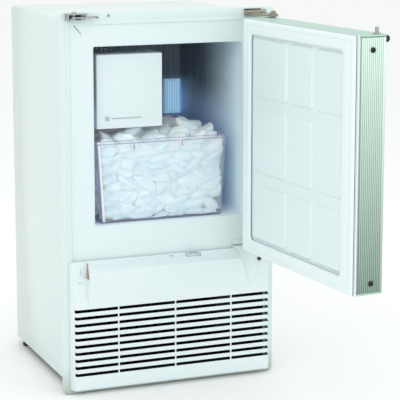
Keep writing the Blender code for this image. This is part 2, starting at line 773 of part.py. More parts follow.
def discharge_line(m):
    points = [(7.6, 238.0, 130.0), (-12.0, 238.0, 130.0), (-12.0, 238.0, 228.0),
              (-90.0, 238.0, 228.0), (-90.0, 60.0, 228.0), (-90.0, 60.0, 211.0)]
    return pipe("discharge_line", m["copper"], points, 3.2)


def control_box(m):
    box = boxes("control_box", m["zinc_steel"], ((110.0, 60.0, 70.0), (172.0, 150.0, 180.0)))
    bevel(box, 3.0)
    leg = boxes("tool", m["zinc_steel"],
                ((150.0, 100.0, SHELL_BOTTOM + SHEET + GAP), (154.0, 140.0, 75.0)))
    return fuse(box, leg)


def water_valve(m):
    body = boxes("water_valve", m["white_plastic"],
                 ((-155.0, 305.0, 186.0), (-115.0, 347.0, 224.0)))
    inlet = round_bar("tool", m["white_plastic"], "Y", -135.0, 205.0, 9.0, 340.0, 364.0, 20)
    coil = round_bar("tool", m["white_plastic"], "Y", -135.0, 205.0, 14.0, 286.0, 306.0, 20)
    outlet = boxes("tool", m["white_plastic"],
                   ((-120.0, 319.0, 196.0), (EJECT_X + 5.0, 330.0, 207.0)))
    riser = round_bar("tool", m["white_plastic"], "Z", EJECT_X, 324.5, 5.0, 200.0, 231.7, 16)
    return fuse(body, inlet, coil, outlet, riser)


def cord_gland(m):
    profile = [(0.0, 340.0), (9.0, 340.0), (9.0, 350.3), (12.5, 350.3), (12.5, 353.0), (8.0, 355.0),
               (6.5, 364.0), (0.0, 364.0)]
    return smooth(turned("cord_gland", m["black_plastic"], "Y", 135.0, 62.0, profile, 20))


# ---------------------------------------------------------------- grille and switch

def grille_body(m, inset):
    """The grille's outer shape, or the room inside it when inset is its wall."""
    left = GRILLE_LEFT + inset
    right = GRILLE_RIGHT - inset
    back = -GAP if inset == 0.0 else 6.0
    face = GRILLE_FACE + inset
    low = GRILLE_BOTTOM + inset
    high = GRILLE_TOP - inset
    side = [(low, back), (low, face + 3.0), (low + 3.0, face), (GRILLE_BEND, face),
            (high, -7.0 + inset), (high, back)]
    slab = prism("grille", m["white_plastic"], "X", [(y, z) for z, y in side], left, right)
    plan = [(left, back), (left + GRILLE_LEFT_RETURN, face), (right - GRILLE_RIGHT_RETURN, face),
            (right, back)]
    trim = prism("tool", m["white_plastic"], "Z", plan, low - 5.0, high + 5.0)
    combine(slab, "INTERSECT", [trim])
    foot = GRILLE_BEND + inset
    shoulder = GRILLE_TOP - LEDGE_DROP - inset * 1.4
    rear = -1.0 if inset == 0.0 else 5.0
    section = [(rear, high), (LEDGE_FRONT + inset, shoulder), (face, foot), (rear, foot)]
    ends = (LEDGE_RIGHT_TOP, LEDGE_RIGHT_TOP, LEDGE_RIGHT_FOOT, LEDGE_RIGHT_FOOT)
    ledge = loft("tool", m["white_plastic"],
                 [[(LEDGE_LEFT + inset, y, z) for y, z in section],
                  [(x - inset, y, z) for x, (y, z) in zip(ends, section)]])
    return fuse(slab, ledge)


def grille(m):
    body = grille_body(m, 0.0)
    room = grille_body(m, GRILLE_WALL)
    slots = []
    edges = [GRILLE_LEFT + 6.0]
    for x in SLOT_RIBS_X:
        edges += [x - SLOT_RIB / 2.0, x + SLOT_RIB / 2.0]
    edges.append(GRILLE_RIGHT - 1.4)
    for row in range(SLOT_ROWS):
        z = SLOT_TOP - row * SLOT_PITCH
        for first, last in zip(edges[0::2], edges[1::2]):
            slots.append(((first, -40.0, z - SLOT_HEIGHT / 2.0), (last, -5.0, z + SLOT_HEIGHT / 2.0)))
    vents = boxes("cutter", m["white_plastic"], *slots)
    notch = boxes("cutter", m["white_plastic"], ((-161.0, -40.0, 207.0), (-157.0, -9.5, 240.0)))
    screw = round_bar("cutter", m["white_plastic"], "Y", 166.5, 214.5, 2.9, -30.0, 5.0, 16)
    port = boxes("cutter", m["white_plastic"],
                 ((26.0, -14.0, 215.0), (53.0, -2.0, 245.0)))
    return cut(body, room, vents, notch, screw, port)


def grille_screw(m):
    profile = [(0.0, -12.8), (2.4, -12.8), (3.6, -11.2), (3.6, -10.6), (2.5, -10.6), (2.5, 3.0),
               (0.0, 3.0)]
    return smooth(turned("grille_screw", m["black_paint"], "Y", 166.5, 214.5, profile, 16))


def switch_bezel(m):
    r = 5.7
    outline = arc(26.3 + r, -13.7 + r, r, 180.0, 270.0, 4)
    outline += arc(52.7 - r, -13.7 + r, r, 270.0, 360.0, 4)
    outline += arc(52.7 - r, -2.3 - r, r, 0.0, 90.0, 4)
    outline += arc(26.3 + r, -2.3 - r, r, 90.0, 180.0, 4)
    bezel = prism("switch_bezel", m["white_plastic"], "Z", outline, 216.0, 235.5)
    room = boxes("cutter", m["white_plastic"], ((32.5, -11.1, 219.0), (46.5, -4.9, 240.0)))
    return cut(bezel, room)


def tilted(outline, u, v, degrees):
    """The outline turned about (u, v)."""
    c = math.cos(math.radians(degrees))
    s = math.sin(math.radians(degrees))
    return [(u + (p - u) * c - (q - v) * s, v + (p - u) * s + (q - v) * c) for p, q in outline]


def rocker_switch(m):
    x, z = 39.5, 229.5
    outline = [(x - 5.1, 224.0), (x + 5.1, 224.0)] + arc(x, 223.0, 15.0, 70.0, 110.0, 8)
    outline = tilted(outline, x, z, -ROCKER_TILT)
    rocker = prism("rocker_switch", m["black_plastic"], "Y", outline, -10.5, -5.5)
    return set_pivot(rocker, (x, -8.0, z))


# ---------------------------------------------------------------- hinges and latch

def strap(name, m, z_low, z_high, root_left, root_right, y_root):
    """A tapered hinge strap from the cabinet's front to the pin."""
    outline = [(root_left, y_root), (root_left, -6.0)]
    outline += arc(HINGE_X, HINGE_Y, 9.0, 205.0, 360.0, 10)
    outline += [(root_right, -30.0), (root_right, y_root)]
    return prism(name, m["zinc_steel"], "Z", outline, z_low, z_high)


def top_hinge_plate(m):
    plate = strap("top_hinge_plate", m, 651.6, 654.4, 139.0, 180.0, -GAP)
    leaf = boxes("tool", m["zinc_steel"], ((139.0, -3.0, 651.6), (180.0, -GAP, 660.0)))
    fuse(plate, leaf)
    hole = round_bar("cutter", m["zinc_steel"], "Z", HINGE_X, HINGE_Y, HINGE_PIN_R + GAP,
                     640.0, 670.0, 20)
    return cut(plate, hole)


def top_hinge_pin(m):
    r = HINGE_PIN_R
    profile = [(0.0, 632.0), (r, 632.0), (r, 654.7), (8.0, 654.7), (8.0, 656.4), (5.6, 656.4),
               (5.6, 660.6), (4.6, 661.4), (0.0, 661.4)]
    return smooth(turned("top_hinge_pin", m["zinc_steel"], "Z", HINGE_X, HINGE_Y, profile, 20))


def lower_hinge_plate(m):
    plate = strap("lower_hinge_plate", m, 236.6, 239.6, 118.5, 178.5, 2.9)
    leaf = boxes("tool", m["zinc_steel"], ((118.5, 0.8, 236.6), (178.5, 2.9, 251.0)))
    fuse(plate, leaf)
    hole = round_bar("cutter", m["zinc_steel"], "Z", HINGE_X, HINGE_Y, HINGE_PIN_R + GAP,
                     230.0, 245.0, 20)
    return cut(plate, hole)


def lower_hinge_pin(m):
    r = HINGE_PIN_R
    profile = [(0.0, 232.6), (6.4, 232.6), (7.0, 233.4), (7.0, 236.3), (r, 236.3), (r, 258.0),
               (0.0, 258.0)]
    return smooth(turned("lower_hinge_pin", m["zinc_steel"], "Z", HINGE_X, HINGE_Y, profile, 20))


def latch_bracket(m):
    section = [(-GAP, 650.6), (-2.3, 650.6), (-2.3, 661.2), (-17.0, 661.2), (-17.0, 663.0), (-GAP, 663.0)]
    bracket = prism("latch_bracket", m["zinc_steel"], "X", section, -188.0, -152.0)
    end = boxes("tool", m["zinc_steel"], ((-187.8, -16.8, 650.9), (-185.8, -0.6, 662.6)))
    rivet = round_bar("tool", m["zinc_steel"], "Z", LATCH_X, LATCH_Y, 2.4, 652.0, 664.5, 16)
    head = round_bar("tool", m["zinc_steel"], "Z", LATCH_X, LATCH_Y, 4.0, 662.5, 666.0, 20)
    return fuse(bracket, end, rivet, head)


def latch_arm(m):
    reach = LATCH_REACH
    slot = STUD_R + 0.8
    local = arc(0.0, 1.0, 6.0, 90.0, 270.0, 8)
    local += [(reach - slot, -5.0), (reach - slot, slot), (reach + slot, slot), (reach + slot, -5.0),
              (reach + slot + 2.6, -5.0), (reach + slot + 2.6, 7.0)]
    outline = [(LATCH_X + u, LATCH_Y + v) for u, v in local]
    arm = prism("latch_arm", m["zinc_steel"], "Z", outline, 654.4, 657.4)
    bore = round_bar("cutter", m["zinc_steel"], "Z", LATCH_X, LATCH_Y, 2.8, 640.0, 670.0, 16)
    return set_pivot(cut(arm, bore), (LATCH_X, LATCH_Y, 654.4))


# ---------------------------------------------------------------- door

def edge_outline(side):
    """The fluted edge extrusion in plan; side is -1 at the free edge and +1 at the hinge edge."""
    outer = side * DOOR_HALF
    points = [(outer - side * EDGE_WALL, DOOR_EDGE_BACK), (outer, DOOR_EDGE_BACK)]
    flutes = 10
    top = DOOR_EDGE_BACK - 2.0
    pitch = (top - (DOOR_FRONT + 5.0)) / flutes
    for i in range(flutes):
        y = top - i * pitch
        points += [(outer, y), (outer - side * 0.8, y - pitch * 0.25),
                   (outer - side * 0.8, y - pitch * 0.5), (outer, y - pitch * 0.75)]
    points += [(outer, DOOR_FRONT + 3.0), (outer - side * 3.0, DOOR_FRONT),
               (outer - side * 11.0, DOOR_FRONT), (outer - side * 11.0, DOOR_FRONT + 2.0),
               (outer - side * EDGE_WALL, DOOR_FRONT + 2.0)]
    return points


def door_edges(m):
    low = DOOR_BOTTOM + DOOR_CAP + GAP
    high = DOOR_TOP - DOOR_CAP - GAP
    free = prism("door_edge_free", m["aluminium"], "Z", edge_outline(-1), low, high)
    hinge = prism("door_edge_hinge", m["aluminium"], "Z", edge_outline(1), low, high)
    holes = round_bars("cutter", m["aluminium"], "X", ((-37.0, 626.0), (-40.0, 259.0)), 2.6,
                       -DOOR_HALF - 5.0, -DOOR_HALF + 8.0, 16)
    return [cut(free, holes), hinge]


def door_cap(name, m, low, high):
    cap = boxes(name, m["aluminium"],
                ((-DOOR_HALF, DOOR_FRONT, low), (DOOR_HALF, DOOR_EDGE_BACK, high)))
    hole = round_bar("cutter", m["aluminium"], "Z", HINGE_X, HINGE_Y, HINGE_PIN_R + GAP,
                     low - 5.0, high + 5.0, 20)
    return cut(cap, hole)


def door_caps(m):
    return [door_cap("door_cap_top", m, DOOR_TOP - DOOR_CAP, DOOR_TOP),
            door_cap("door_cap_bottom", m, DOOR_BOTTOM, DOOR_BOTTOM + DOOR_CAP)]


def bushing_room(radius):
    """Cutters at the door's two hinge corners, as tall as the bushings."""
    spans = ((DOOR_BOTTOM - 5.0, BUSHING_BOTTOM_END + GAP), (BUSHING_TOP_START - GAP, DOOR_TOP + 5.0))
    return [round_bar("cutter", None, "Z", HINGE_X, HINGE_Y, radius, low, high, 24)
            for low, high in spans]


def door_skin(m):
    half = DOOR_HALF - EDGE_WALL - GAP
    low = DOOR_BOTTOM + DOOR_CAP + GAP
    high = DOOR_TOP - DOOR_CAP - GAP
    front = DOOR_FRONT + 2.0 + GAP
    skin = boxes("door_skin", m["white_paint"], ((-half, front, low), (half, front + SHEET, high)))
    return cut(skin, *bushing_room(8.3))


def door_foam(m):
    half = DOOR_HALF - EDGE_WALL - GAP
    low = DOOR_BOTTOM + DOOR_CAP + GAP
    high = DOOR_TOP - DOOR_CAP - GAP
    front = DOOR_FRONT + 2.0 + 2.0 * GAP + SHEET
    core = boxes("door_foam", m["foam"], ((-half, front, low), (half, DOOR_EDGE_BACK, high)))
    stud = round_bar("cutter", m["foam"], "Z", LATCH_X, LATCH_Y - LATCH_REACH, STUD_R + GAP,
                     DOOR_TOP - 15.0, DOOR_TOP + 5.0, 16)
    return cut(core, stud, *bushing_room(8.6))


def door_bushings(m):
    made = []
    for name, low, high in (("door_bushing_top", BUSHING_TOP_START, DOOR_TOP - DOOR_CAP - GAP),
                            ("door_bushing_bottom", DOOR_BOTTOM + DOOR_CAP + GAP, BUSHING_BOTTOM_END)):
        sleeve = round_bar(name, m["nylon"], "Z", HINGE_X, HINGE_Y, 8.0, low, high, 24)
        bore = round_bar("cutter", m["nylon"], "Z", HINGE_X, HINGE_Y, HINGE_PIN_R + GAP,
                         low - 5.0, high + 5.0, 20)
        trim = boxes("cutter", m["nylon"],
                     ((HINGE_X - 12.0, DOOR_FRONT - 5.0, low - 5.0),
                      (HINGE_X + 12.0, DOOR_FRONT + 2.0 + GAP, high + 5.0)))
        made.append(cut(sleeve, bore, trim))
    return made


def door_liner(m):
    """Inner panel with nine raised fields that leave a grid of flat bands between them."""
    back = DOOR_EDGE_BACK + GAP
    plate = boxes("door_liner", m["white_plastic"],
                  ((-DOOR_HALF + 0.4, back, DOOR_BOTTOM + 0.4),
                   (DOOR_HALF - 0.4, back + 3.0, DOOR_TOP - 0.4)))
    columns = ((-142.5, -57.0), (-47.5, 28.0), (37.5, 153.0))
    rows = ((270.0, 366.0), (388.0, 497.0), (519.0, 619.0))
    pads = []
    for left, right in columns:
        for low, high in rows:
            pads.append(((left, back + 2.0, low), (right, back + 5.2, high)))
    fields = bevel(boxes("tool", m["white_plastic"], *pads), 1.5, 1)
    return fuse(plate, fields)


def door_gasket(m):
    back = DOOR_EDGE_BACK + GAP + 3.0 + GAP
    ring = boxes("door_gasket", m["gasket_vinyl"],
                 ((-DOOR_HALF + 1.0, back, DOOR_BOTTOM + 1.0), (DOOR_HALF - 1.0, GASKET_FACE, DOOR_TOP - 1.0)))
    window = boxes("cutter", m["gasket_vinyl"],
                   ((-147.0, back - 5.0, DOOR_BOTTOM + 25.0), (157.5, 5.0, DOOR_TOP - 26.0)))
    return bevel(cut(ring, window), 1.6, 2)


def door_stud(m):
    base = DOOR_TOP + GAP
    profile = [(0.0, base), (6.6, base), (6.6, base + 1.6), (STUD_R, base + 1.6),
               (STUD_R, base + 10.2), (STUD_R - 0.8, base + 11.0), (0.0, base + 11.0)]
    return smooth(turned("door_stud", m["zinc_steel"], "Z", LATCH_X, LATCH_Y - LATCH_REACH, profile, 20))


def door_knob(m):
    y = DOOR_FRONT - GAP
    profile = [(0.0, y), (KNOB_R - 1.0, y), (KNOB_R, y - 2.0), (KNOB_R, y - 6.0), (4.2, y - 8.2),
               (0.0, y - 8.8)]
    return smooth(turned("door_knob", m["black_plastic"], "Y", KNOB_X, KNOB_Z, profile, 20))


def door_screws(m):
    made = []
    for name, y, z in (("door_screw_top", -37.0, 626.0), ("door_screw_bottom", -40.0, 259.0)):
        x = -DOOR_HALF
        profile = [(0.0, x - 1.8), (2.6, x - 1.8), (4.6, x - GAP), (2.3, x - GAP), (2.3, x + 3.6),
                   (0.0, x + 3.6)]
        made.append(smooth(turned(name, m["black_paint"], "X", y, z, profile, 16)))
    return made


# ---------------------------------------------------------------- assembly

def empty(name, point, turn=0.0):
    marker = bpy.data.objects.new(name, None)
    marker.empty_display_size = 0.03
    marker.location = Vector(point) * MM
    marker.rotation_euler = (0.0, 0.0, math.radians(turn))
    bpy.context.scene.collection.objects.link(marker)
    return marker


def hang_door(pieces):
    """Moves each door piece's origin to the hinge line and parents it to the turned hinge."""
    hinge = empty("door_hinge", (HINGE_X, HINGE_Y, 0.0), DOOR_OPEN)
    for piece in pieces:
        set_pivot(piece, (HINGE_X, HINGE_Y, 0.0))
        piece.location = (0.0, 0.0, 0.0)
        piece.parent = hinge
    return hinge


def stand_on_origin(pieces, hinge):
    """Puts the middle of the whole box's underside on the world's origin."""
    base = empty("assembly_origin", (0.0, 0.0, 0.0))
    for piece in pieces:
        if piece.parent is None:
            piece.parent = base
    hinge.parent = base
    bpy.context.view_layer.update()
    corners = []
    for piece in pieces:
        corners += [piece.matrix_world @ v.co for v in mesh_of(piece).vertices]
    low = [min(p[i] for p in corners) for i in range(3)]
    high = [max(p[i] for p in corners) for i in range(3)]
    base.location = (-(low[0] + high[0]) / 2.0, -(low[1] + high[1]) / 2.0, -low[2])
    bpy.context.view_layer.update()


def mesh_of(obj):
    graph = bpy.context.evaluated_depsgraph_get()
    return bpy.data.meshes.new_from_object(obj.evaluated_get(graph))


def main():
    clear_scene()
    m = make_materials()
    cabinet = [cabinet_shell(m), rear_panel(m), base_pan(m), foam_insulation(m), liner(m),
               breaker_frame(m), front_flange(m), evaporator_plate(m), thermostat_guard(m)]
    unit = [icemaker_cover(m), icemaker_housing(m), drive_motor(m), motor_pinion(m),
            ejector_gear(m), ice_mould(m), ejector_shaft(m), ice_stripper(m), shutoff_arm(m),
            fill_cup(m), fill_tube(m), ice_bin(m)]
    machine = [compressor(m), condenser(m), fan_shroud(m), fan_motor(m), fan_blade(m),
               discharge_line(m), control_box(m), water_valve(m), cord_gland(m)]
    machine += levelling_legs(m)
    front = [grille(m), grille_screw(m), switch_bezel(m), rocker_switch(m), top_hinge_plate(m),
             top_hinge_pin(m), lower_hinge_plate(m), lower_hinge_pin(m), latch_bracket(m),
             latch_arm(m)]
    door = [door_skin(m), door_foam(m), door_liner(m), door_gasket(m), door_stud(m), door_knob(m)]
    door += door_edges(m) + door_caps(m) + door_bushings(m) + door_screws(m)
    hinge = hang_door(door)
    stand_on_origin(cabinet + unit + machine + front + door, hinge)


main()
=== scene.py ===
import json
import math
import random

import bmesh
import bpy
from mathutils import Matrix, Vector, noise

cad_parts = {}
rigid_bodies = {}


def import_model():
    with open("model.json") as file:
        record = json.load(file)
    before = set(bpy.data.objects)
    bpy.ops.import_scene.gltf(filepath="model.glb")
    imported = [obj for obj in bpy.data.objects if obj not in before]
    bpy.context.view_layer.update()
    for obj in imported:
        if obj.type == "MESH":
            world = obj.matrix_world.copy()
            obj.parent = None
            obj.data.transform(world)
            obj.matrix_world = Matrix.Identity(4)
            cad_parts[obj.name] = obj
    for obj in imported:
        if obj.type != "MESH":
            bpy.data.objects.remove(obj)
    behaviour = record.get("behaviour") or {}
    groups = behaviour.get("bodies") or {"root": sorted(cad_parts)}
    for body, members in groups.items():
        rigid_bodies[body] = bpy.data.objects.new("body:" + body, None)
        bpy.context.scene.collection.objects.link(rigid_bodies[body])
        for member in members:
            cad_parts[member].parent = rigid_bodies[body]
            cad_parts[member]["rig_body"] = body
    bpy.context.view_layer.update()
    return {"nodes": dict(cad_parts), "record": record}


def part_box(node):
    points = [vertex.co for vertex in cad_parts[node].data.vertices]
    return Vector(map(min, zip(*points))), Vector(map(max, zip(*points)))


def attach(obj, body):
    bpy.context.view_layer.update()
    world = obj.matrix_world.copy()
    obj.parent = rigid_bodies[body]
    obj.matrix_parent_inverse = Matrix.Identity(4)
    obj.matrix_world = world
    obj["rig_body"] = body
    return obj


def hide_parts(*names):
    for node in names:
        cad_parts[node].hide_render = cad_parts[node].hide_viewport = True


# Looks of the built-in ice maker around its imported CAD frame.
#
# Pieces are built in millimetres in the appliance's own axes: X across the front from the cabinet's
# middle, Y back from the trim flange's front face, Z up from the floor. Door pieces are built as if
# the door were shut, and take the CAD door's turn.

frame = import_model()

MM = 0.001
FLANGE_LOW, FLANGE_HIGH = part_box("front_flange")
ORIGIN = Vector(((FLANGE_LOW.x + FLANGE_HIGH.x) / 2.0, FLANGE_LOW.y, 0.0))
HINGE_X, HINGE_Y = 169.5, -56.5
HINGE = Vector((HINGE_X * MM, HINGE_Y * MM, 0.0))
DOOR_OPEN = math.radians(94.0)
CABINET_PLACE = Matrix.Translation(ORIGIN)
DOOR_PLACE = (Matrix.Translation(ORIGIN + HINGE) @ Matrix.Rotation(DOOR_OPEN, 4, "Z")
              @ Matrix.Translation(-HINGE))


# ---------------------------------------------------------------- camera, light and floor

CAMERA_SPOT = (-0.9928, -2.5783, 0.8723)
CAMERA_YAW = 22.137
CAMERA_PITCH = 9.652
CAMERA_LENS = 144.77
CAMERA_SHIFT = -0.1


def add_camera():
    data = bpy.data.cameras.new("camera")
    data.sensor_width = 36.0
    data.lens = CAMERA_LENS
    data.shift_y = CAMERA_SHIFT
    data.clip_end = 50.0
    camera = bpy.data.objects.new("camera", data)
    camera.location = ORIGIN + Vector(CAMERA_SPOT)
    camera.rotation_euler = (math.radians(90.0 - CAMERA_PITCH), 0.0, math.radians(-CAMERA_YAW))
    bpy.context.scene.collection.objects.link(camera)
    bpy.context.scene.camera = camera


def area_light(name, spot, target, size, power, colour=(1.0, 1.0, 1.0)):
    data = bpy.data.lights.new(name, "AREA")
    data.shape = "RECTANGLE"
    data.size, data.size_y = size
    data.energy = power
    data.color = colour
    lamp = bpy.data.objects.new(name, data)
    lamp.location = spot
    aim = Vector(target) - Vector(spot)
    lamp.rotation_euler = aim.to_track_quat("-Z", "Y").to_euler()
    bpy.context.scene.collection.objects.link(lamp)


def add_light():
    world = bpy.data.worlds.new("world")
    world.use_nodes = True
    background = world.node_tree.nodes["Background"]
    background.inputs["Color"].default_value = (0.985, 1.0, 1.0, 1.0)
    background.inputs["Strength"].default_value = 0.96
    bpy.context.scene.world = world
    area_light("key", (-1.6, -2.6, 2.2), (0.0, 0.0, 0.35), (1.8, 1.8), 15.0)
    area_light("fill", (1.8, -2.2, 1.2), (0.1, -0.1, 0.3), (1.6, 1.6), 5.0)
    area_light("top", (0.0, 0.2, 2.6), (0.0, 0.0, 0.5), (1.8, 1.8), 5.0)
    view = bpy.context.scene.view_settings
    view.view_transform = "Standard"


def add_floor():
    mesh = bpy.data.meshes.new("floor")
    mesh.from_pydata([(-60, -60, 0), (60, -60, 0), (60, 60, 0), (-60, 60, 0)], [], [(0, 1, 2, 3)])
    floor = bpy.data.objects.new("floor", mesh)
    mesh.materials.append(surface("floor", (0.985, 0.98, 0.98), 0.8, mottle=(3.0, 0.01)))
    bpy.context.scene.collection.objects.link(floor)


# ---------------------------------------------------------------- materials

class Nodes:
    """Small helper for building one material's node tree."""

    def __init__(self, name):
        self.material = bpy.data.materials.new(name)
        self.material.use_nodes = True
        self.tree = self.material.node_tree
        self.shader = self.tree.nodes["Principled BSDF"]
        self.coords = self.tree.nodes.new("ShaderNodeTexCoord")

    def noise(self, scale, stretch=(1.0, 1.0, 1.0), detail=3.0):
        mapping = self.tree.nodes.new("ShaderNodeMapping")
        mapping.inputs["Scale"].default_value = stretch
        self.tree.links.new(self.coords.outputs["Object"], mapping.inputs["Vector"])
        made = self.tree.nodes.new("ShaderNodeTexNoise")
        made.inputs["Scale"].default_value = scale
        made.inputs["Detail"].default_value = detail
        self.tree.links.new(mapping.outputs["Vector"], made.inputs["Vector"])
        return made.outputs["Fac"]

    def remap(self, value, low, high, start=0.0, end=1.0):
        made = self.tree.nodes.new("ShaderNodeMapRange")
        made.inputs["From Min"].default_value = start
        made.inputs["From Max"].default_value = end
        made.inputs["To Min"].default_value = low
        made.inputs["To Max"].default_value = high
        self.tree.links.new(value, made.inputs["Value"])
        return made.outputs["Result"]

    def mix(self, factor, first, second):
        made = self.tree.nodes.new("ShaderNodeMix")
        made.data_type = "RGBA"
        inputs = [s for s in made.inputs if s.type == "RGBA"]
        for socket, colour in zip(inputs, (first, second)):
            if isinstance(colour, tuple):
                socket.default_value = (*colour, 1.0)
            else:
                self.tree.links.new(colour, socket)
        self.tree.links.new(factor, made.inputs["Factor"])
        return [s for s in made.outputs if s.type == "RGBA"][0]

    def height(self, axis="Z"):
        split = self.tree.nodes.new("ShaderNodeSeparateXYZ")
        self.tree.links.new(self.coords.outputs["Object"], split.inputs["Vector"])
        return split.outputs[axis]

    def bump(self, value, strength, distance):
        made = self.tree.nodes.new("ShaderNodeBump")
        made.inputs["Strength"].default_value = strength
        made.inputs["Distance"].default_value = distance
        self.tree.links.new(value, made.inputs["Height"])
        self.tree.links.new(made.outputs["Normal"], self.shader.inputs["Normal"])

    def link(self, value, socket):
        self.tree.links.new(value, self.shader.inputs[socket])

    def set(self, **values):
        for name, value in values.items():
            self.shader.inputs[name.replace("_", " ")].default_value = value


def shade(colour, factor):
    return tuple(min(1.0, c * factor) for c in colour)


GLOSS_SPREAD = 0.15


def surface(name, colour, roughness, metallic=0.0, mottle=(6.0, 0.02), grain=None,
            stretch=(1.0, 1.0, 1.0), **extra):
    """A finish with slow colour variation, uneven gloss and a fine surface grain.

    mottle is (scale, share); grain is (scale, strength, depth in metres)."""
    n = Nodes(name)
    tone = n.noise(mottle[0], stretch)
    n.link(n.mix(tone, shade(colour, 1.0 - mottle[1]), shade(colour, 1.0 + mottle[1])), "Base Color")
    fine = n.noise(grain[0], stretch) if grain else tone
    n.link(n.remap(fine, roughness * (1.0 - GLOSS_SPREAD), roughness * (1.0 + GLOSS_SPREAD)), "Roughness")
    if grain:
        n.bump(fine, grain[1], grain[2])
    n.shader.inputs["Metallic"].default_value = metallic
    n.set(**extra)
    return n.material


def graded(name, low, high, z_low, z_high, roughness, metallic, grain):
    """A finish whose colour runs from low to high between two heights in metres."""
    n = Nodes(name)
    rise = n.remap(n.height(), 0.0, 1.0, z_low, z_high)
    fine = n.noise(grain[0])
    n.link(n.mix(rise, low, high), "Base Color")
    n.link(n.remap(fine, roughness * 0.8, roughness * 1.2), "Roughness")
    n.bump(fine, grain[1], grain[2])
    n.shader.inputs["Metallic"].default_value = metallic
    return n.material


def make_materials():
    """Every finish, by the name of its CAD material slot or of the detail that it is for."""
    white = (0.705, 0.82, 0.80)
    plastic = (0.755, 0.85, 0.86)
    m = {}
    m["white_paint"] = surface("white_enamel", white, 0.34, mottle=(5.0, 0.012),
                               grain=(900.0, 0.12, 0.0002), Coat_Weight=0.25, Coat_Roughness=0.15)
    m["white_plastic"] = surface("white_moulding", plastic, 0.42, mottle=(9.0, 0.012),
                                 grain=(1600.0, 0.18, 0.00015))
    # The liner's finish carries painted shade at its top and painted light at the front of its right wall.
    m["liner_plastic"] = liner_painted_light()
    m["gasket_vinyl"] = surface("gasket_vinyl", (0.80, 0.89, 0.895), 0.6, mottle=(30.0, 0.02),
                                grain=(1200.0, 0.2, 0.0002))
    # Painted light: the thermostat guard is made bright pale blue and glows, though it is no lamp, standing
    # in for light falling on the back wall.
    m["pale_blue_plastic"] = surface("guard_plastic_painted_glow", (0.62, 0.82, 1.0), 0.4, mottle=(60.0, 0.04),
                                     grain=(900.0, 0.2, 0.0002), Emission_Color=(0.45, 0.75, 1.0, 1.0),
                                     Emission_Strength=0.3)
    m["cast_aluminium"] = surface("cast_aluminium", (0.42, 0.44, 0.46), 0.55, 1.0, mottle=(70.0, 0.12),
                                  grain=(700.0, 0.5, 0.0004))
    # Dark aluminium plate, made near-black also as painted shade for the compartment's top.
    m["dark_aluminium"] = surface("dark_plate_painted_shade", (0.06, 0.075, 0.09), 0.5, 0.4, mottle=(40.0, 0.2),
                                  grain=(500.0, 0.3, 0.0003))
    m["zinc_steel"] = surface("zinc_steel", (0.40, 0.43, 0.43), 0.3, 1.0, mottle=(90.0, 0.25),
                              grain=(300.0, 0.25, 0.0003))
    m["black_plastic"] = surface("black_plastic", (0.012, 0.012, 0.013), 0.42, mottle=(60.0, 0.2),
                                 grain=(1500.0, 0.3, 0.0002))
    m["black_paint"] = surface("black_paint", (0.016, 0.016, 0.018), 0.32, mottle=(30.0, 0.2),
                               grain=(800.0, 0.2, 0.0003), Coat_Weight=0.3)
    m["copper"] = surface("copper", (0.72, 0.36, 0.22), 0.28, 1.0, mottle=(60.0, 0.15),
                          grain=(700.0, 0.2, 0.0002))
    m["foam"] = surface("foam", (0.80, 0.70, 0.46), 0.9, mottle=(120.0, 0.1), grain=(900.0, 0.8, 0.0008))
    m["nylon"] = surface("nylon", (0.74, 0.73, 0.66), 0.45, mottle=(80.0, 0.04), grain=(900.0, 0.2, 0.0002))
    m["clear_plastic"] = clear_plastic("clear_plastic", (0.80, 0.90, 0.98), 0.16)
    # Painted shadow: dark grey-green for the shadow lines at the door edge's joints.
    m["seam_painted_shadow"] = surface("seam_painted_shadow", (0.22, 0.29, 0.27), 0.5, mottle=(40.0, 0.05),
                              grain=(900.0, 0.2, 0.0001))
    m["gloss_black"] = surface("gloss_black", (0.004, 0.004, 0.005), 0.14, mottle=(60.0, 0.1),
                               grain=(900.0, 0.1, 0.0001))
    # Painted shadow: brown-dark for the shade on the ledge's left end and under the lower hinge leaf.
    m["notch_painted_shadow"] = surface("notch_painted_shadow", (0.34, 0.25, 0.20), 0.6, mottle=(40.0, 0.1),
                               grain=(900.0, 0.2, 0.0002))
    m["rocker_grey"] = surface("rocker_grey", (0.42, 0.50, 0.56), 0.35, mottle=(60.0, 0.05),
                               grain=(1200.0, 0.2, 0.0001))
    m["surround_grey"] = surface("surround_grey", (0.52, 0.62, 0.68), 0.4, mottle=(60.0, 0.05),
                                 grain=(1200.0, 0.2, 0.0001))
    m["flange_paint"] = flange_paint()
    m["cap_aluminium"] = surface("cap_aluminium", (0.46, 0.66, 0.56), 0.42, 0.35, mottle=(40.0, 0.05),
                                 grain=(500.0, 0.15, 0.0002), stretch=(0.03, 1.0, 1.0))
    m["hinge_metal"] = surface("hinge_metal", (0.33, 0.31, 0.25), 0.34, 0.85, mottle=(90.0, 0.2),
                               grain=(300.0, 0.25, 0.0003))
    # Painted shade: near-black for the machine space and the grille's slots, where shade falls; also the
    # rocker's black end.
    m["machine_dark"] = surface("black_and_painted_shade", (0.012, 0.013, 0.014), 0.6, 0.2, mottle=(40.0, 0.3),
                                grain=(300.0, 0.3, 0.0003))
    m["badge"] = surface("badge", (0.46, 0.54, 0.56), 0.35, 0.3, mottle=(60.0, 0.04),
                         grain=(900.0, 0.2, 0.0001))
    # Painted shade on the bin's edges and a painted highlight on its left corner.
    m["bin_edge_painted_shade"] = clear_plastic("bin_edge_painted_shade", (0.33, 0.29, 0.45), 0.6)
    m["bin_painted_highlight"] = clear_plastic("bin_painted_highlight", (0.94, 0.97, 1.0), 0.8)
    m["bin_mark"] = clear_plastic("bin_mark", (0.66, 0.34, 0.42), 0.7)
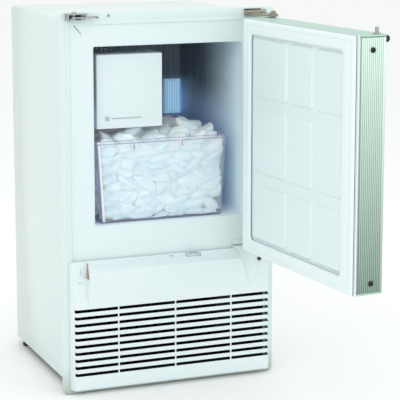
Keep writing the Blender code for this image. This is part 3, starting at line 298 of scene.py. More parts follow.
    # Painted light: both run from dark at the door's foot to bright at its top; the flute grooves' finish is
    # darker still, as painted shade.
    m["flute_painted_shade"] = graded("flute_painted_shade", (0.13, 0.20, 0.16), (0.50, 0.68, 0.58), 0.24, 0.65, 0.45, 0.5,
                              grain=(500.0, 0.15, 0.0002))
    m["aluminium"] = graded("satin_aluminium_painted_light", (0.31, 0.43, 0.36), (0.82, 1.0, 0.90), 0.24, 0.65, 0.42, 0.35,
                            grain=(500.0, 0.15, 0.0002))
    m["door_plastic"] = surface("door_moulding", (0.74, 0.85, 0.84), 0.4, mottle=(9.0, 0.012),
                                grain=(1600.0, 0.18, 0.00015))
    # Painted shadow for the seal's groove.
    m["seal_shadow"] = surface("seal_painted_shadow", (0.34, 0.36, 0.46), 0.6, mottle=(40.0, 0.05),
                               grain=(1200.0, 0.2, 0.0002))
    m["ice"] = ice_with_painted_glow()
    return m


def liner_painted_light():
    """Thin white liner over foam, with its light and shade painted in: painted shade in slate at the top and
    blue below, a painted pool of light that is paler towards the front of its right wall and weaker low down,
    and a pale floor.
    """
    n = Nodes("liner_painted_light")
    streaks = n.noise(260.0, (1.0, 1.0, 0.02), detail=5.0)
    # Painted shade: dark slate above about half a metre, where the compartment's top lies in shade; blue
    # below.
    rise = n.remap(n.height(), 0.0, 1.0, 0.47, 0.515)
    wall = n.mix(rise, (0.44, 0.60, 0.88), (0.13, 0.155, 0.185))
    tinted = n.mix(n.remap(streaks, 0.0, 0.35, 0.35, 0.75), wall, (0.54, 0.72, 0.96))
    # Painted light: the front of the right wall is made paler, less so low down.
    painted_light_front = n.tree.nodes.new("ShaderNodeMath")
    painted_light_front.operation = "MULTIPLY"
    n.tree.links.new(n.remap(n.height("Y"), 1.0, 0.0, 0.03, 0.20), painted_light_front.inputs[0])
    n.tree.links.new(n.remap(n.height("X"), 0.0, 1.0, 0.125, 0.134), painted_light_front.inputs[1])
    fade = n.tree.nodes.new("ShaderNodeMath")
    fade.operation = "POWER"
    n.tree.links.new(painted_light_front.outputs[0], fade.inputs[0])
    n.tree.links.new(n.remap(n.height(), 3.5, 1.0, 0.40, 0.46), fade.inputs[1])
    walls = n.mix(fade.outputs[0], tinted, (0.74, 0.93, 1.0))
    n.link(n.mix(n.remap(n.height(), 1.0, 0.0, 0.296, 0.302), walls, (0.78, 0.90, 1.0)), "Base Color")
    n.link(n.remap(streaks, 0.3, 0.5), "Roughness")
    n.bump(streaks, 0.12, 0.0004)
    return n.material


def flange_paint():
    """White enamel with painted shade: a beige-green darkening painted in near the floor."""
    n = Nodes("flange_enamel_painted_shade")
    fine = n.noise(900.0)
    # Painted shade over the lowest five centimetres.
    low = n.remap(n.height(), 0.0, 1.0, 0.0, 0.05)
    n.link(n.mix(low, (0.42, 0.50, 0.43), (0.69, 0.82, 0.795)), "Base Color")
    n.link(n.remap(fine, 0.3, 0.4), "Roughness")
    n.bump(fine, 0.12, 0.0002)
    n.set(Coat_Weight=0.25, Coat_Roughness=0.15)
    return n.material


def ice_with_painted_glow():
    """Cloudy ice that passes a little light, with a faint painted glow that lifts its shaded chips."""
    n = Nodes("ice")
    cloud = n.noise(42.0, detail=4.0)
    n.link(n.mix(n.remap(cloud, 0.0, 1.0, 0.3, 0.7), (0.84, 0.91, 0.95), (0.95, 0.98, 1.0)), "Base Color")
    n.link(n.remap(cloud, 0.3, 0.5), "Roughness")
    n.bump(n.noise(160.0), 0.15, 0.0006)
    # Painted light: a faint emission brightens the chips that lie in shade.
    n.set(IOR=1.31, Subsurface_Weight=0.5, Subsurface_Scale=0.02, Specular_IOR_Level=0.3,
          Emission_Color=(0.80, 0.93, 1.0, 1.0), Emission_Strength=0.06)
    return n.material


def clear_plastic(name, colour, alpha):
    """A see-through moulding with faint waves."""
    n = Nodes(name)
    fine = n.noise(60.0, (1.0, 1.0, 0.3))
    n.link(n.mix(n.noise(20.0), shade(colour, 0.97), colour), "Base Color")
    n.link(n.remap(fine, 0.05, 0.14), "Roughness")
    n.bump(fine, 0.06, 0.0005)
    n.shader.inputs["Alpha"].default_value = alpha
    n.shader.inputs["IOR"].default_value = 1.49
    return n.material


M = make_materials()


# ---------------------------------------------------------------- mesh helpers

def arc(u, v, radius, first, last, steps):
    points = []
    for i in range(steps + 1):
        a = math.radians(first + (last - first) * i / steps)
        points.append((u + radius * math.cos(a), v + radius * math.sin(a)))
    return points


def rounded(u0, u1, v0, v1, r, n=5):
    """Corner-rounded rectangle, 4 * (n + 1) points."""
    r = max(r, 0.05)
    points = []
    for u, v, a in ((u1 - r, v0 + r, -90.0), (u1 - r, v1 - r, 0.0), (u0 + r, v1 - r, 90.0),
                    (u0 + r, v0 + r, 180.0)):
        points += arc(u, v, r, a, a + 90.0, n)
    return points


def upright(points, y):
    """Places (x, z) points at depth y."""
    return [(u, y, v) for u, v in points]


def level(points, z):
    """Places (x, y) points at height z."""
    return [(u, v, z) for u, v in points]


def skin(bm, loops, closed=False):
    """Faces between loops of equal length; the ends get caps, or closed joins the last loop to the first."""
    rings = [[bm.verts.new(p) for p in loop] for loop in loops]
    pairs = list(zip(rings, rings[1:]))
    if closed:
        pairs.append((rings[-1], rings[0]))
    made = []
    count = len(loops[0])
    for low, high in pairs:
        for i in range(count):
            j = (i + 1) % count
            made.append(bm.faces.new((low[i], high[i], high[j], low[j])))
    if not closed:
        made.append(bm.faces.new(rings[0]))
        made.append(bm.faces.new(reversed(rings[-1])))
    return made


def bar(bm, outline, start, end, edge):
    """An upright prism with its end edges eased by edge."""
    cu = sum(p[0] for p in outline) / len(outline)
    cv = sum(p[1] for p in outline) / len(outline)
    reach = max(math.hypot(u - cu, v - cv) for u, v in outline)
    small = 1.0 - edge / reach
    loops = []
    for z, size in ((start, small), (start + edge, 1.0), (end - edge, 1.0), (end, small)):
        loops.append(level([(cu + (u - cu) * size, cv + (v - cv) * size) for u, v in outline], z))
    return skin(bm, loops)


def block(bm, low, high, r=0.6, n=2):
    """A box with every edge rounded."""
    (x0, y0, z0), (x1, y1, z1) = low, high
    loops = []
    for i in range(n + 1):
        a = math.radians(90.0 * i / n)
        inset = r * (1.0 - math.sin(a))
        loops.append(level(rounded(x0 + inset, x1 - inset, y0 + inset, y1 - inset, r, n),
                           z0 + r * (1.0 - math.cos(a))))
    for i in range(n + 1):
        a = math.radians(90.0 * i / n)
        inset = r * (1.0 - math.cos(a))
        loops.append(level(rounded(x0 + inset, x1 - inset, y0 + inset, y1 - inset, r, n),
                           z1 - r * (1.0 - math.sin(a))))
    return skin(bm, loops)


def lathe(bm, axis, u, v, profile, count=28):
    """A solid of revolution about an axis line at (u, v); profile is (radius, height) pole to pole."""
    loops = []
    for radius, w in profile:
        ring = arc(u, v, max(radius, 0.02), 0.0, 360.0 * (count - 1) / count, count - 1)
        loops.append([{"X": (w, a, b), "Y": (a, w, b), "Z": (a, b, w)}[axis] for a, b in ring])
    return skin(bm, loops)


def piece(name, bm, mat, body, replaces=(), door=False, angle=32.0, extra=()):
    """Turns a bmesh in millimetres into a shown piece that rides on a body."""
    bmesh.ops.scale(bm, vec=(MM, MM, MM), verts=bm.verts)
    bmesh.ops.recalc_face_normals(bm, faces=bm.faces)
    mesh = bpy.data.meshes.new(name)
    bm.to_mesh(mesh)
    bm.free()
    for each in (mat, *extra):
        mesh.materials.append(each)
    mesh.shade_smooth()
    mesh.set_sharp_from_angle(angle=math.radians(angle))
    obj = bpy.data.objects.new(name, mesh)
    bpy.context.scene.collection.objects.link(obj)
    obj.matrix_world = DOOR_PLACE if door else CABINET_PLACE
    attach(obj, body)
    if replaces:
        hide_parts(*replaces)
    return obj


EDGE_ANGLE = math.radians(30.0)


def refine(node, name, width, mat=None, dark=None, merge=True, split=None):
    """A cleaned copy of a CAD node with its sharp edges eased, shown in the node's place.

    dark(spot, normal) says which faces get the near-black second finish, as painted shade or a black mark;
    split is a height at which faces are cut apart for it."""
    source = frame["nodes"][node]
    bm = bmesh.new()
    bm.from_mesh(source.data)
    bmesh.ops.scale(bm, vec=(1000.0, 1000.0, 1000.0), verts=bm.verts)
    bmesh.ops.remove_doubles(bm, verts=bm.verts, dist=0.002)
    if merge:
        bmesh.ops.dissolve_limit(bm, angle_limit=math.radians(0.8), verts=bm.verts, edges=bm.edges)
    sharp = [e for e in bm.edges if len(e.link_faces) == 2 and e.calc_face_angle(0.0) > EDGE_ANGLE]
    if width > 0.0:
        bmesh.ops.bevel(bm, geom=sharp, offset=width, offset_type="OFFSET", segments=2,
                        profile=0.5, affect="EDGES", clamp_overlap=True)
    if split:
        bmesh.ops.bisect_plane(bm, geom=bm.verts[:] + bm.edges[:] + bm.faces[:], plane_co=(0.0, 0.0, split),
                               plane_no=(0.0, 0.0, 1.0))
    if dark:
        for f in bm.faces:
            spot = f.calc_center_median()
            spot.x -= ORIGIN.x * 1000.0
            spot.y -= ORIGIN.y * 1000.0
            f.material_index = int(dark(spot, f.normal))
    bmesh.ops.scale(bm, vec=(MM, MM, MM), verts=bm.verts)
    mesh = bpy.data.meshes.new(name)
    bm.to_mesh(mesh)
    bm.free()
    mesh.materials.append(mat or M[SLOT_OF[node]])
    mesh.materials.append(M["machine_dark"])
    mesh.shade_smooth()
    mesh.set_sharp_from_angle(angle=EDGE_ANGLE)
    obj = bpy.data.objects.new(name, mesh)
    bpy.context.scene.collection.objects.link(obj)
    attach(obj, source["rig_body"])
    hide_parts(node)
    return obj


# ---------------------------------------------------------------- cabinet and compartment

def trim_flange():
    """Trim frame round the front, with a rolled outer edge and a shallow groove."""
    def loop(t, y, r):
        side = 198.0 - 18.0 * t
        return upright(rounded(-side, side, 1.5 + 10.0 * t, 664.0 - 22.0 * t, r, 6), y)

    rows = [(0.0, 10.9, 6.0), (0.0, 1.5, 6.0), (0.025, 0.45, 5.6), (0.08, 0.0, 4.8), (0.62, 0.0, 2.4),
            (0.66, 0.35, 2.2), (0.70, 0.35, 2.2), (0.74, 0.0, 2.0), (0.93, 0.0, 1.4), (0.98, 0.4, 1.1),
            (1.0, 1.2, 0.9), (1.0, 3.0, 0.9), (0.17, 3.0, 3.4), (0.15, 3.6, 3.8), (0.15, 10.9, 3.8)]
    bm = bmesh.new()
    skin(bm, [loop(*row) for row in rows], closed=True)
    piece("trim_flange", bm, M["flange_paint"], "cabinet", ["front_flange"])


def breaker():
    """Plastic strip between wrapper and liner, with the mitred joint at its top left corner."""
    outer = [(0.0, 6.5, 1.0), (0.0, 3.4, 1.0), (0.4, 3.3, 1.0), (6.4, 3.3, 1.0), (7.6, 3.6, 1.0)]
    opening = [(3.0, 3.6, 5.0), (1.2, 3.8, 3.6), (0.3, 4.5, 2.8), (0.0, 5.6, 2.4), (0.0, 8.6, 2.4),
               (1.6, 8.6, 3.4), (1.6, 6.5, 3.4)]
    loops = [upright(rounded(-182.8 + d, 182.8 - d, 228.0 + d, 646.0 - d, r, 4), y)
             for d, y, r in outer]
    loops += [upright(rounded(-137.0 - d, 137.0 + d, 294.5 - d, 604.5 + d, r, 4), y)
              for d, y, r in opening]
    bm = bmesh.new()
    skin(bm, loops, closed=True)
    piece("breaker_trim", bm, M["white_plastic"], "cabinet", ["breaker_frame"])
    joint = bmesh.new()
    skin(joint, [[(-172.4, y, 641.6), (-171.4, y, 642.4), (-158.2, y, 626.8), (-158.6, y, 626.4)]
                 for y in (3.1, 3.5)])
    piece("breaker_joint", joint, M["black_plastic"], "cabinet")


def liner_tub():
    """Inner compartment, open at the front, with rounded corners."""
    def wall(grow, r, y):
        return upright(rounded(-139.5 - grow, 139.5 + grow, 295.0 - grow, 606.0 + grow, r, 6), y)

    loops = [wall(-12.0, 6.0, 305.0), wall(-4.0, 12.0, 303.0), wall(1.2, 15.0, 298.0),
             wall(2.2, 16.0, 290.0), wall(2.2, 16.0, 9.2), wall(13.0, 18.0, 9.2), wall(13.0, 18.0, 7.0),
             wall(0.8, 13.0, 7.0), wall(0.0, 12.0, 8.4), wall(0.0, 13.0, 286.0), wall(-1.0, 13.0, 294.0),
             wall(-4.5, 10.0, 300.0), wall(-12.0, 5.0, 302.7)]
    bm = bmesh.new()
    skin(bm, loops)
    piece("liner_tub", bm, M["liner_plastic"], "cabinet", ["liner"])


def unit_cover():
    """Ice maker's white front cover with a plain badge of a square and a line."""
    def face(inset, r, y):
        return upright(rounded(-127.0 + inset, -6.5 - inset, 460.4 + inset, 589.0 - inset, r, 4), y)

    loops = [face(2.4, 1.2, 20.0), face(1.2, 1.8, 20.15), face(0.4, 2.2, 20.7), face(0.0, 2.4, 21.8),
             face(0.0, 2.4, 76.6), face(2.2, 1.2, 76.6), face(2.2, 1.2, 22.6), face(3.2, 0.8, 22.2)]
    bm = bmesh.new()
    skin(bm, loops)
    piece("unit_cover", bm, M["white_plastic"], "cabinet", ["icemaker_cover"])
    badge = bmesh.new()
    for x0, x1, z0, z1 in ((-112.0, -104.0, 474.0, 482.0), (-100.0, -46.0, 476.6, 479.0)):
        skin(badge, [upright(rounded(x0 + d, x1 - d, z0 + d, z1 - d, 1.2 - d, 4), y)
                     for d, y in ((0.0, 20.1), (0.0, 19.8), (0.25, 19.6))])
    piece("unit_badge", badge, M["badge"], "cabinet")


# ---------------------------------------------------------------- bin and ice

BIN_LEFT = -132.5
BIN_RIGHT = 115.5
BIN_DRAFT = 8.5
BIN_FLOOR = 295.6
ICE_LEFT = -125.0
ICE_RIGHT = 108.5
ICE_LAYER = 13.5
CHIP_REACH = 17.0
HEAP_LEVEL = 432.0


def bin_shell():
    """Clear tapered bin with a rim, painted dark edge shade, a painted highlight down its left corner, and a
    small lug.
    """
    def ring(inset, low_inset, z, lean, r):
        left = BIN_LEFT + inset + low_inset
        right = BIN_RIGHT - inset - low_inset
        front = 12.0 + inset + lean
        back = 262.0 - inset - low_inset
        return level(rounded(left, right, front, back, r, 5), z)

    d = BIN_DRAFT
    floor = BIN_FLOOR
    outside = [ring(1.5, d + 8.0, floor, 4.0, 4.0), ring(1.5, d + 4.0, floor + 0.6, 1.8, 5.0),
               ring(1.5, d + 1.0, floor + 2.6, 0.7, 6.0), ring(1.5, d, floor + 6.0, 0.4, 6.5),
               ring(1.5, 1.0, 424.0, 0.0, 6.5), ring(1.5, 0.4, 433.5, 0.0, 6.5),
               ring(0.4, 0.0, 434.6, 0.0, 7.0), ring(0.0, 0.0, 435.6, 0.0, 7.2),
               ring(0.0, 0.0, 439.0, 0.0, 7.2), ring(0.5, 0.0, 440.0, 0.0, 7.0)]
    inside = [ring(3.2, 0.0, 440.0, 0.0, 5.0), ring(4.0, 0.0, 439.2, 0.0, 4.6),
              ring(4.1, 1.0, 424.0, 0.0, 4.4), ring(4.1, d, floor + 8.0, 0.4, 4.4),
              ring(4.1, d + 2.0, floor + 4.2, 1.0, 4.0), ring(4.1, d + 7.0, floor + 2.6, 4.0, 2.0)]
    bm = bmesh.new()
    faces = skin(bm, outside + inside)
    bmesh.ops.recalc_face_normals(bm, faces=bm.faces)
    # Painted shade in dark violet on the corners' side faces, the rim lines and the floor edge; a painted
    # highlight on the left front corner.
    for f in faces:
        c = f.calc_center_median()
        lean = abs(f.normal.x) if c.y < 22.0 else 0.0
        corner = 0.6 < lean < 0.95
        rim_shade_line = 439.0 < c.z < 439.9 or 434.0 < c.z < 435.5
        if rim_shade_line or corner or c.z < 297.5:
            f.material_index = 1
        elif c.x < 0.0 and 0.1 < lean < 0.6:
            f.material_index = 3
    for x in (-62.0, 28.0):
        mark = block(bm, (x, 13.4, 424.0), (x + 1.6, 15.6, 434.0), 0.5)
        for f in mark:
            f.material_index = 2
    for f in block(bm, (93.0, 13.0, 301.5), (102.0, 15.4, 306.0), 0.8):
        f.material_index = 1
    piece("bin_shell", bm, M["clear_plastic"], "bin", ["ice_bin"],
          extra=(M["bin_edge_painted_shade"], M["bin_mark"], M["bin_painted_highlight"]))


ICE_SEED = 11


def moon_loops():
    """One half-moon of ice, about 54 x 20 x 24 mm, as loops across its width."""
    outline = []
    for i in range(13):
        a = math.radians(212.0 + 116.0 * i / 12.0)
        outline.append((27.0 * math.cos(a), 12.0 + 27.0 * math.sin(a)))
    outline += arc(21.6, 2.6, 4.6, -20.0, 80.0, 3)
    for i in range(1, 6):
        t = i / 6.0
        outline.append((20.0 * (1.0 - 2.0 * t), 7.0 + 2.0 * math.sin(math.pi * t)))
    outline += arc(-21.6, 2.6, 4.6, 100.0, 200.0, 3)
    loops = []
    for k in range(9):
        a = math.radians(-78.0 + 156.0 * k / 8.0)
        size = math.cos(a) ** 0.45
        loops.append([Vector((u * (0.25 + 0.75 * size), 11.0 * math.sin(a), (v + 4.0) * size - 4.0))
                      for u, v in outline])
    return loops


def heap_height(x, y):
    """Top of the ice over the bin, in millimetres above the floor."""
    hump = 34.0 * math.exp(-((x - 66.0) / 36.0) ** 2 - ((y - 90.0) / 60.0) ** 2)
    back = 34.0 * math.exp(-((x - 44.0) / 34.0) ** 2 - ((y - 200.0) / 40.0) ** 2)
    left = 20.0 * math.exp(-((x + 92.0) / 26.0) ** 2 - ((y - 50.0) / 50.0) ** 2)
    middle = 20.0 * math.exp(-((x + 22.0) / 42.0) ** 2 - ((y - 80.0) / 60.0) ** 2)
    edge = -8.0 * ease((x - 98.0) / 12.0)
    return HEAP_LEVEL + max(hump, back) + left + middle + edge


def pressed(value, wall, room=5.0):
    """A coordinate squeezed up towards a wall that it may not pass."""
    gap = value - wall
    return wall + room * math.exp(gap / room - 1.0) if gap < room else value


def chip_point(spot, turn, p):
    """A point of a chip in the heap, pushed about so that no two chips are alike."""
    placed = spot + turn @ p
    placed += 2.6 * noise.noise_vector(placed / 14.0) + 1.0 * noise.noise_vector(placed / 6.0)
    draft = BIN_DRAFT * min(1.0, max(0.0, (HEAP_LEVEL - placed.z) / 130.0)) + 0.5
    placed.x = pressed(placed.x, BIN_LEFT + 4.3 + draft)
    placed.x = -pressed(-placed.x, 4.3 - BIN_RIGHT + draft)
    placed.y = pressed(placed.y, 18.4, 3.0)
    placed.y = -pressed(-placed.y, -256.4 + draft)
    placed.z = pressed(placed.z, 298.6, 2.5)
    return placed


def ice_pile():
    """Half-moons of ice in layers, thrown about, over a plain core that no view reaches."""
    dice = random.Random(ICE_SEED)
    noise.seed_set(ICE_SEED)
    loops = moon_loops()
    bm = bmesh.new()
    z = 300.0
    while z < 480.0:
        inset = BIN_DRAFT * (1.0 - (z - 303.0) / 130.0) if z < 433.0 else 0.0
        x0, x1 = ICE_LEFT + inset + CHIP_REACH, ICE_RIGHT - inset - CHIP_REACH
        y0, y1 = 29.0, 236.0
        columns = 7
        rows = 9
        for j in range(rows):
            for i in range(columns):
                x = x0 + (x1 - x0) * (i + (0.5 if j % 2 and i < columns - 1 else 0.0)) / (columns - 1)
                y = y0 + (y1 - y0) * j / (rows - 1)
                top = heap_height(x, y)
                above = z > top - 8.0
                deep_inside = j > 1 and 0 < i < columns - 1 and 320.0 < z < top - 48.0
                if above or deep_inside:
                    continue
                spot = Vector((x + dice.uniform(-8, 8), y + dice.uniform(-3, 5), z + dice.uniform(-7, 7)))
                turn = (Matrix.Rotation(dice.uniform(-0.6, 0.6) + dice.choice((0.0, math.pi)), 4, "Z")
                        @ Matrix.Rotation(dice.uniform(-0.7, 0.7), 4, "X")
                        @ Matrix.Rotation(dice.uniform(-0.7, 0.7) + dice.choice((0.0, 0.0, math.pi)), 4, "Y"))
                size = Vector((dice.uniform(0.8, 1.15), dice.uniform(0.8, 1.2), dice.uniform(0.7, 1.0)))
                skin(bm, [[chip_point(spot, turn, p * size) for p in loop] for loop in loops])
        z += ICE_LAYER
    heap = []
    for k in range(9):
        t = k / 8.0
        z = 315.0 + 108.0 * t
        inset = BIN_DRAFT * (1.0 - t) + 8.0 + 3.0 * math.sin(5.0 * t)
        heap.append(level(rounded(-127.0 + inset, 110.0 - inset, 27.0, 240.0, 12.0, 4), z))
    for grow, z in ((8.0, 428.0), (30.0, 433.0), (60.0, 436.0)):
        heap.append(level(rounded(-117.0 + grow, 100.0 - grow, 27.0 + grow, 240.0 - grow, 12.0, 4), z))
    skin(bm, heap)
    piece("ice_pile", bm, M["ice"], "bin", angle=75.0)


# ---------------------------------------------------------------- door

DOOR_HALF = 183.0
DOOR_LOW = 241.0
DOOR_HIGH = 649.7
DOOR_FRONT = -62.0
DOOR_BACK = -14.3
DOOR_CAP = 3.4
PANEL_MARGIN = 0.4
SEAM_TOP = 1.3


def flute_outline(side, count=12):
    """Plan of a door edge extrusion: rounded flutes down its outer face and a lip round the front."""
    outer = side * DOOR_HALF

    def spot(depth, y):
        return (outer - side * depth, y)

    points = [spot(4.0, DOOR_BACK), spot(0.6, DOOR_BACK), spot(0.1, DOOR_BACK - 0.4),
              spot(0.1, DOOR_BACK - 1.6)]
    start = DOOR_BACK - 2.0
    pitch = (start - (DOOR_FRONT + 4.0)) / count
    for i in range(count):
        y = start - i * pitch
        for k in range(7):
            points.append(spot(1.0 * math.sin(math.pi * k / 6.0), y - pitch * 0.62 * k / 6.0))
    for k in range(7):
        a = math.radians(15.0 * k)
        points.append(spot(3.0 - 3.0 * math.cos(a), DOOR_FRONT + 3.0 - 3.0 * math.sin(a)))
    points += [spot(10.5, DOOR_FRONT), spot(11.0, DOOR_FRONT + 0.5), spot(11.0, DOOR_FRONT + 2.0),
               spot(4.0, DOOR_FRONT + 2.0)]
    return points


def door_edge(side, name, node):
    """Fluted edge extrusion with a painted shadow line under the top cap and down its back groove, and
    painted shade on its flute grooves' floors.
    """
    outline = flute_outline(side)
    bm = bmesh.new()
    low, high = DOOR_LOW + DOOR_CAP, DOOR_HIGH - DOOR_CAP
    for f in skin(bm, [level(outline, z) for z in (low, high - SEAM_TOP, high)]):
        spot = f.calc_center_median()
        if len(f.verts) > 4:
            continue
        # Painted shadow on the top band and the back groove; painted shade on the flute grooves' floors.
        if spot.z > high - SEAM_TOP or DOOR_BACK - 1.9 < spot.y < DOOR_BACK - 0.3:
            f.material_index = 2
        elif 0.6 < DOOR_HALF - abs(spot.x) < 1.2:
            f.material_index = 1
    piece(name, bm, M["aluminium"], "door", [node], door=True,
          extra=(M["flute_painted_shade"], M["seam_painted_shadow"]))


def ease(t):
    t = min(1.0, max(0.0, t))
    return t * t * (3.0 - 2.0 * t)


PAD_COLUMNS = ((-142.5, -57.0), (-47.5, 28.0), (37.5, 153.0))
PAD_ROWS = ((270.0, 366.0), (388.0, 497.0), (519.0, 619.0))


def pad_rise(x, z):
    """Height of the soft pads above the door panel, with a shallow gutter round each one."""
    best = -1000.0
    for x0, x1 in PAD_COLUMNS:
        for z0, z1 in PAD_ROWS:
            r = 9.0
            dx = max(x0 + r - x, x - (x1 - r))
            dz = max(z0 + r - z, z - (z1 - r))
            outside = math.hypot(max(dx, 0.0), max(dz, 0.0)) + min(max(dx, dz), 0.0) - r
            best = max(best, -outside)
    gutter = math.exp(-((best + 1.2) / 1.3) ** 2)
    return 2.3 * ease((best + 0.5) / 3.6) - 0.7 * gutter


def fine_steps(edges, low, high):
    """Grid lines packed near the pads' edges and wide apart between them."""
    lines = {low, high}
    for edge in edges:
        for offset in (-4.0, -2.6, -1.8, -1.0, -0.2, 0.6, 1.4, 2.2, 3.2, 4.4, 6.0, 8.0, 10.0):
            for side in (-1.0, 1.0):
                spot = edge + side * offset
                if low < spot < high:
                    lines.add(round(spot, 2))
    spread = sorted(lines)
    filled = [spread[0]]
    for spot in spread[1:]:
        gap = spot - filled[-1]
        if gap < 0.35:
            continue
        extra = int(gap // 14.0)
        for _ in range(extra):
            filled.append(filled[-1] + gap / (extra + 1))
        filled.append(spot)
    return filled


def door_panel():
    """Inner panel with nine soft pads, moulded in one grid that is fine at the pads' edges."""
    x_low, x_high = PANEL_MARGIN - DOOR_HALF, DOOR_HALF - PANEL_MARGIN
    z_low, z_high = DOOR_LOW + PANEL_MARGIN, DOOR_HIGH - PANEL_MARGIN
    xs = fine_steps([x for pair in PAD_COLUMNS for x in pair], x_low, x_high)
    zs = fine_steps([z for pair in PAD_ROWS for z in pair], z_low, z_high)
    xs[-1], zs[-1] = x_high, z_high
    bm = bmesh.new()
    front = [[bm.verts.new((x, -11.0 + pad_rise(x, z), z)) for x in xs] for z in zs]
    for low, high in zip(front, front[1:]):
        for i in range(len(xs) - 1):
            bm.faces.new((low[i], low[i + 1], high[i + 1], high[i]))
    rim = front[0] + [row[-1] for row in front[1:]] + front[-1][-2::-1] + [r[0] for r in front[-2:0:-1]]
    back = [bm.verts.new((v.co.x, -14.0, v.co.z)) for v in rim]
    for i in range(len(rim)):
        j = (i + 1) % len(rim)
        bm.faces.new((rim[j], rim[i], back[i], back[j]))
    bm.faces.new(back)
    piece("door_panel", bm, M["door_plastic"], "door", ["door_liner"], door=True, angle=50.0)


def door_seal():
    """Bellows seal round the door, wider at its free side, with a painted shadow line in its groove."""
    def loop(t, y, r):
        return upright(rounded(-182.0 + 35.0 * t, 182.0 - 24.5 * t, 242.0 + 24.0 * t, 648.7 - 25.0 * t, r),
                       y)

    rows = [(0.0, -10.5, 4.0), (0.0, -9.6, 4.0), (0.04, -9.2, 4.0), (0.04, -8.2, 4.0), (0.0, -7.8, 4.0),
            (0.0, -6.4, 4.0), (0.03, -5.0, 4.4), (0.10, -4.2, 5.2), (0.18, -4.0, 6.0),
            (0.30, -4.2, 6.4), (0.34, -5.4, 6.6), (0.38, -5.4, 6.8), (0.42, -4.2, 7.0), (0.60, -4.0, 7.4),
            (0.88, -4.1, 8.0), (0.96, -4.7, 8.2), (1.0, -6.2, 8.4), (1.0, -8.4, 8.4), (0.94, -9.0, 8.0),
            (0.94, -10.5, 8.0)]
    bm = bmesh.new()
    faces = skin(bm, [loop(*row) for row in rows], closed=True)
    # Painted shadow in the seal's groove and along its inner edge.
    for f in faces:
        spot = f.calc_center_median()
        if -9.5 < spot.y < -7.9 or (-10.4 < spot.y < -8.4 and abs(spot.x) < 160.0):
            f.material_index = 1
    piece("door_seal", bm, M["gasket_vinyl"], "door", ["door_gasket"], door=True, angle=40.0,
          extra=(M["seal_shadow"],))


# ---------------------------------------------------------------- screws, nuts and small trim

def head_mesh():
    """A pan head of radius 1 about +Z with its underside at zero, and a cross recess."""
    dome = [(0.02, 0.0), (0.96, 0.0), (1.0, 0.1), (0.97, 0.24), (0.84, 0.42), (0.62, 0.54), (0.34, 0.6),
            (0.02, 0.62)]
    bm = bmesh.new()
    lathe(bm, "Z", 0.0, 0.0, dome)
    bmesh.ops.recalc_face_normals(bm, faces=bm.faces)
    head = bpy.data.meshes.new("pan_head")
    bm.to_mesh(head)
    bm.free()
    tool = bmesh.new()
    for u, v in ((0.52, 0.11), (0.11, 0.52)):
        skin(tool, [level([(-u * 0.7, -v), (u * 0.7, -v), (u * 0.7, v), (-u * 0.7, v)], 0.26),
                    level([(-u, -v), (u, -v), (u, v), (-u, v)], 0.8)])
    bmesh.ops.recalc_face_normals(tool, faces=tool.faces)
    cross = bpy.data.meshes.new("cross")
    tool.to_mesh(cross)
    tool.free()
    holder = bpy.data.objects.new("pan_head", head)
    cutter = bpy.data.objects.new("cross", cross)
    for each in (holder, cutter):
        bpy.context.scene.collection.objects.link(each)
    cut = holder.modifiers.new("cross", "BOOLEAN")
    cut.object = cutter
    cut.operation = "DIFFERENCE"
    cut.use_self = True
    bpy.context.view_layer.update()
    made = bpy.data.meshes.new_from_object(holder.evaluated_get(bpy.context.evaluated_depsgraph_get()))
    for each in (holder, cutter):
        bpy.data.objects.remove(each)
    return made


QUARTER = math.radians(90.0)
FACINGS = {"-X": Matrix.Rotation(-QUARTER, 4, "Y"), "+Y": Matrix.Rotation(-QUARTER, 4, "X"),
           "-Y": Matrix.Rotation(QUARTER, 4, "X"), "+Z": Matrix.Identity(4)}


def screws(name, facing, spots, radius, body, mat, replaces=(), door=False):
    """Pan-head screws joined into one piece; each spot is the centre of a head's underside."""
    bm = bmesh.new()
    for k, spot in enumerate(spots):
        start = len(bm.verts)
        bm.from_mesh(HEAD)
        bm.verts.ensure_lookup_table()
        turn = Matrix.Rotation(0.5 + 1.1 * k, 4, "Z")
        place = Matrix.Translation(spot) @ FACINGS[facing] @ turn @ Matrix.Scale(radius, 4)
        for v in bm.verts[start:]:
            v.co = place @ v.co
    return piece(name, bm, mat, body, replaces, door, angle=30.0)


def hex_nut(bm, x, y, z, size, height):
    outline = [(x + size * math.cos(a), y + size * math.sin(a)) for a in
               (math.radians(60.0 * i + 12.0) for i in range(6))]
    bar(bm, outline, z, z + height, 0.5)


def top_hinge():
    """Hinge strap with its shims, bolt, nut and two screws."""
    refine("top_hinge_plate", "top_hinge_strap", 0.35, mat=M["hinge_metal"])
    shim = bmesh.new()
    block(shim, (138.8, -3.5, 659.7), (170.0, -0.3, 661.7), 0.3)
    block(shim, (139.2, -12.0, 650.6), (166.0, -0.6, 651.5), 0.3)
    piece("hinge_shim", shim, M["black_plastic"], "cabinet")
    bm = bmesh.new()
    bolt = [(0.0, 632.0), (4.0, 632.0), (4.0, 654.7), (8.0, 654.7), (8.0, 655.9), (7.6, 656.3),
            (3.6, 656.3), (3.6, 660.9), (3.0, 661.4), (0.0, 661.4)]
    lathe(bm, "Z", HINGE_X, HINGE_Y, bolt)
    hex_nut(bm, HINGE_X, HINGE_Y, 656.2, 5.6, 3.2)
    piece("top_hinge_bolt", bm, M["hinge_metal"], "cabinet", ["top_hinge_pin"])
    screws("hinge_screws", "-Y", [(148.0, -3.0, 656.2), (171.0, -3.0, 656.2)], 2.9, "cabinet",
           M["zinc_steel"])


def latch_insert():
    """Black nylon wear block behind the arm, in two halves under the bracket's top plate."""
    bm = bmesh.new()
    for x0, x1 in ((-184.6, -179.6), (-171.4, -161.0)):
        block(bm, (x0, -4.4, 651.4), (x1, -2.5, 660.6), 0.4)
    piece("latch_wear_block", bm, M["black_plastic"], "cabinet")


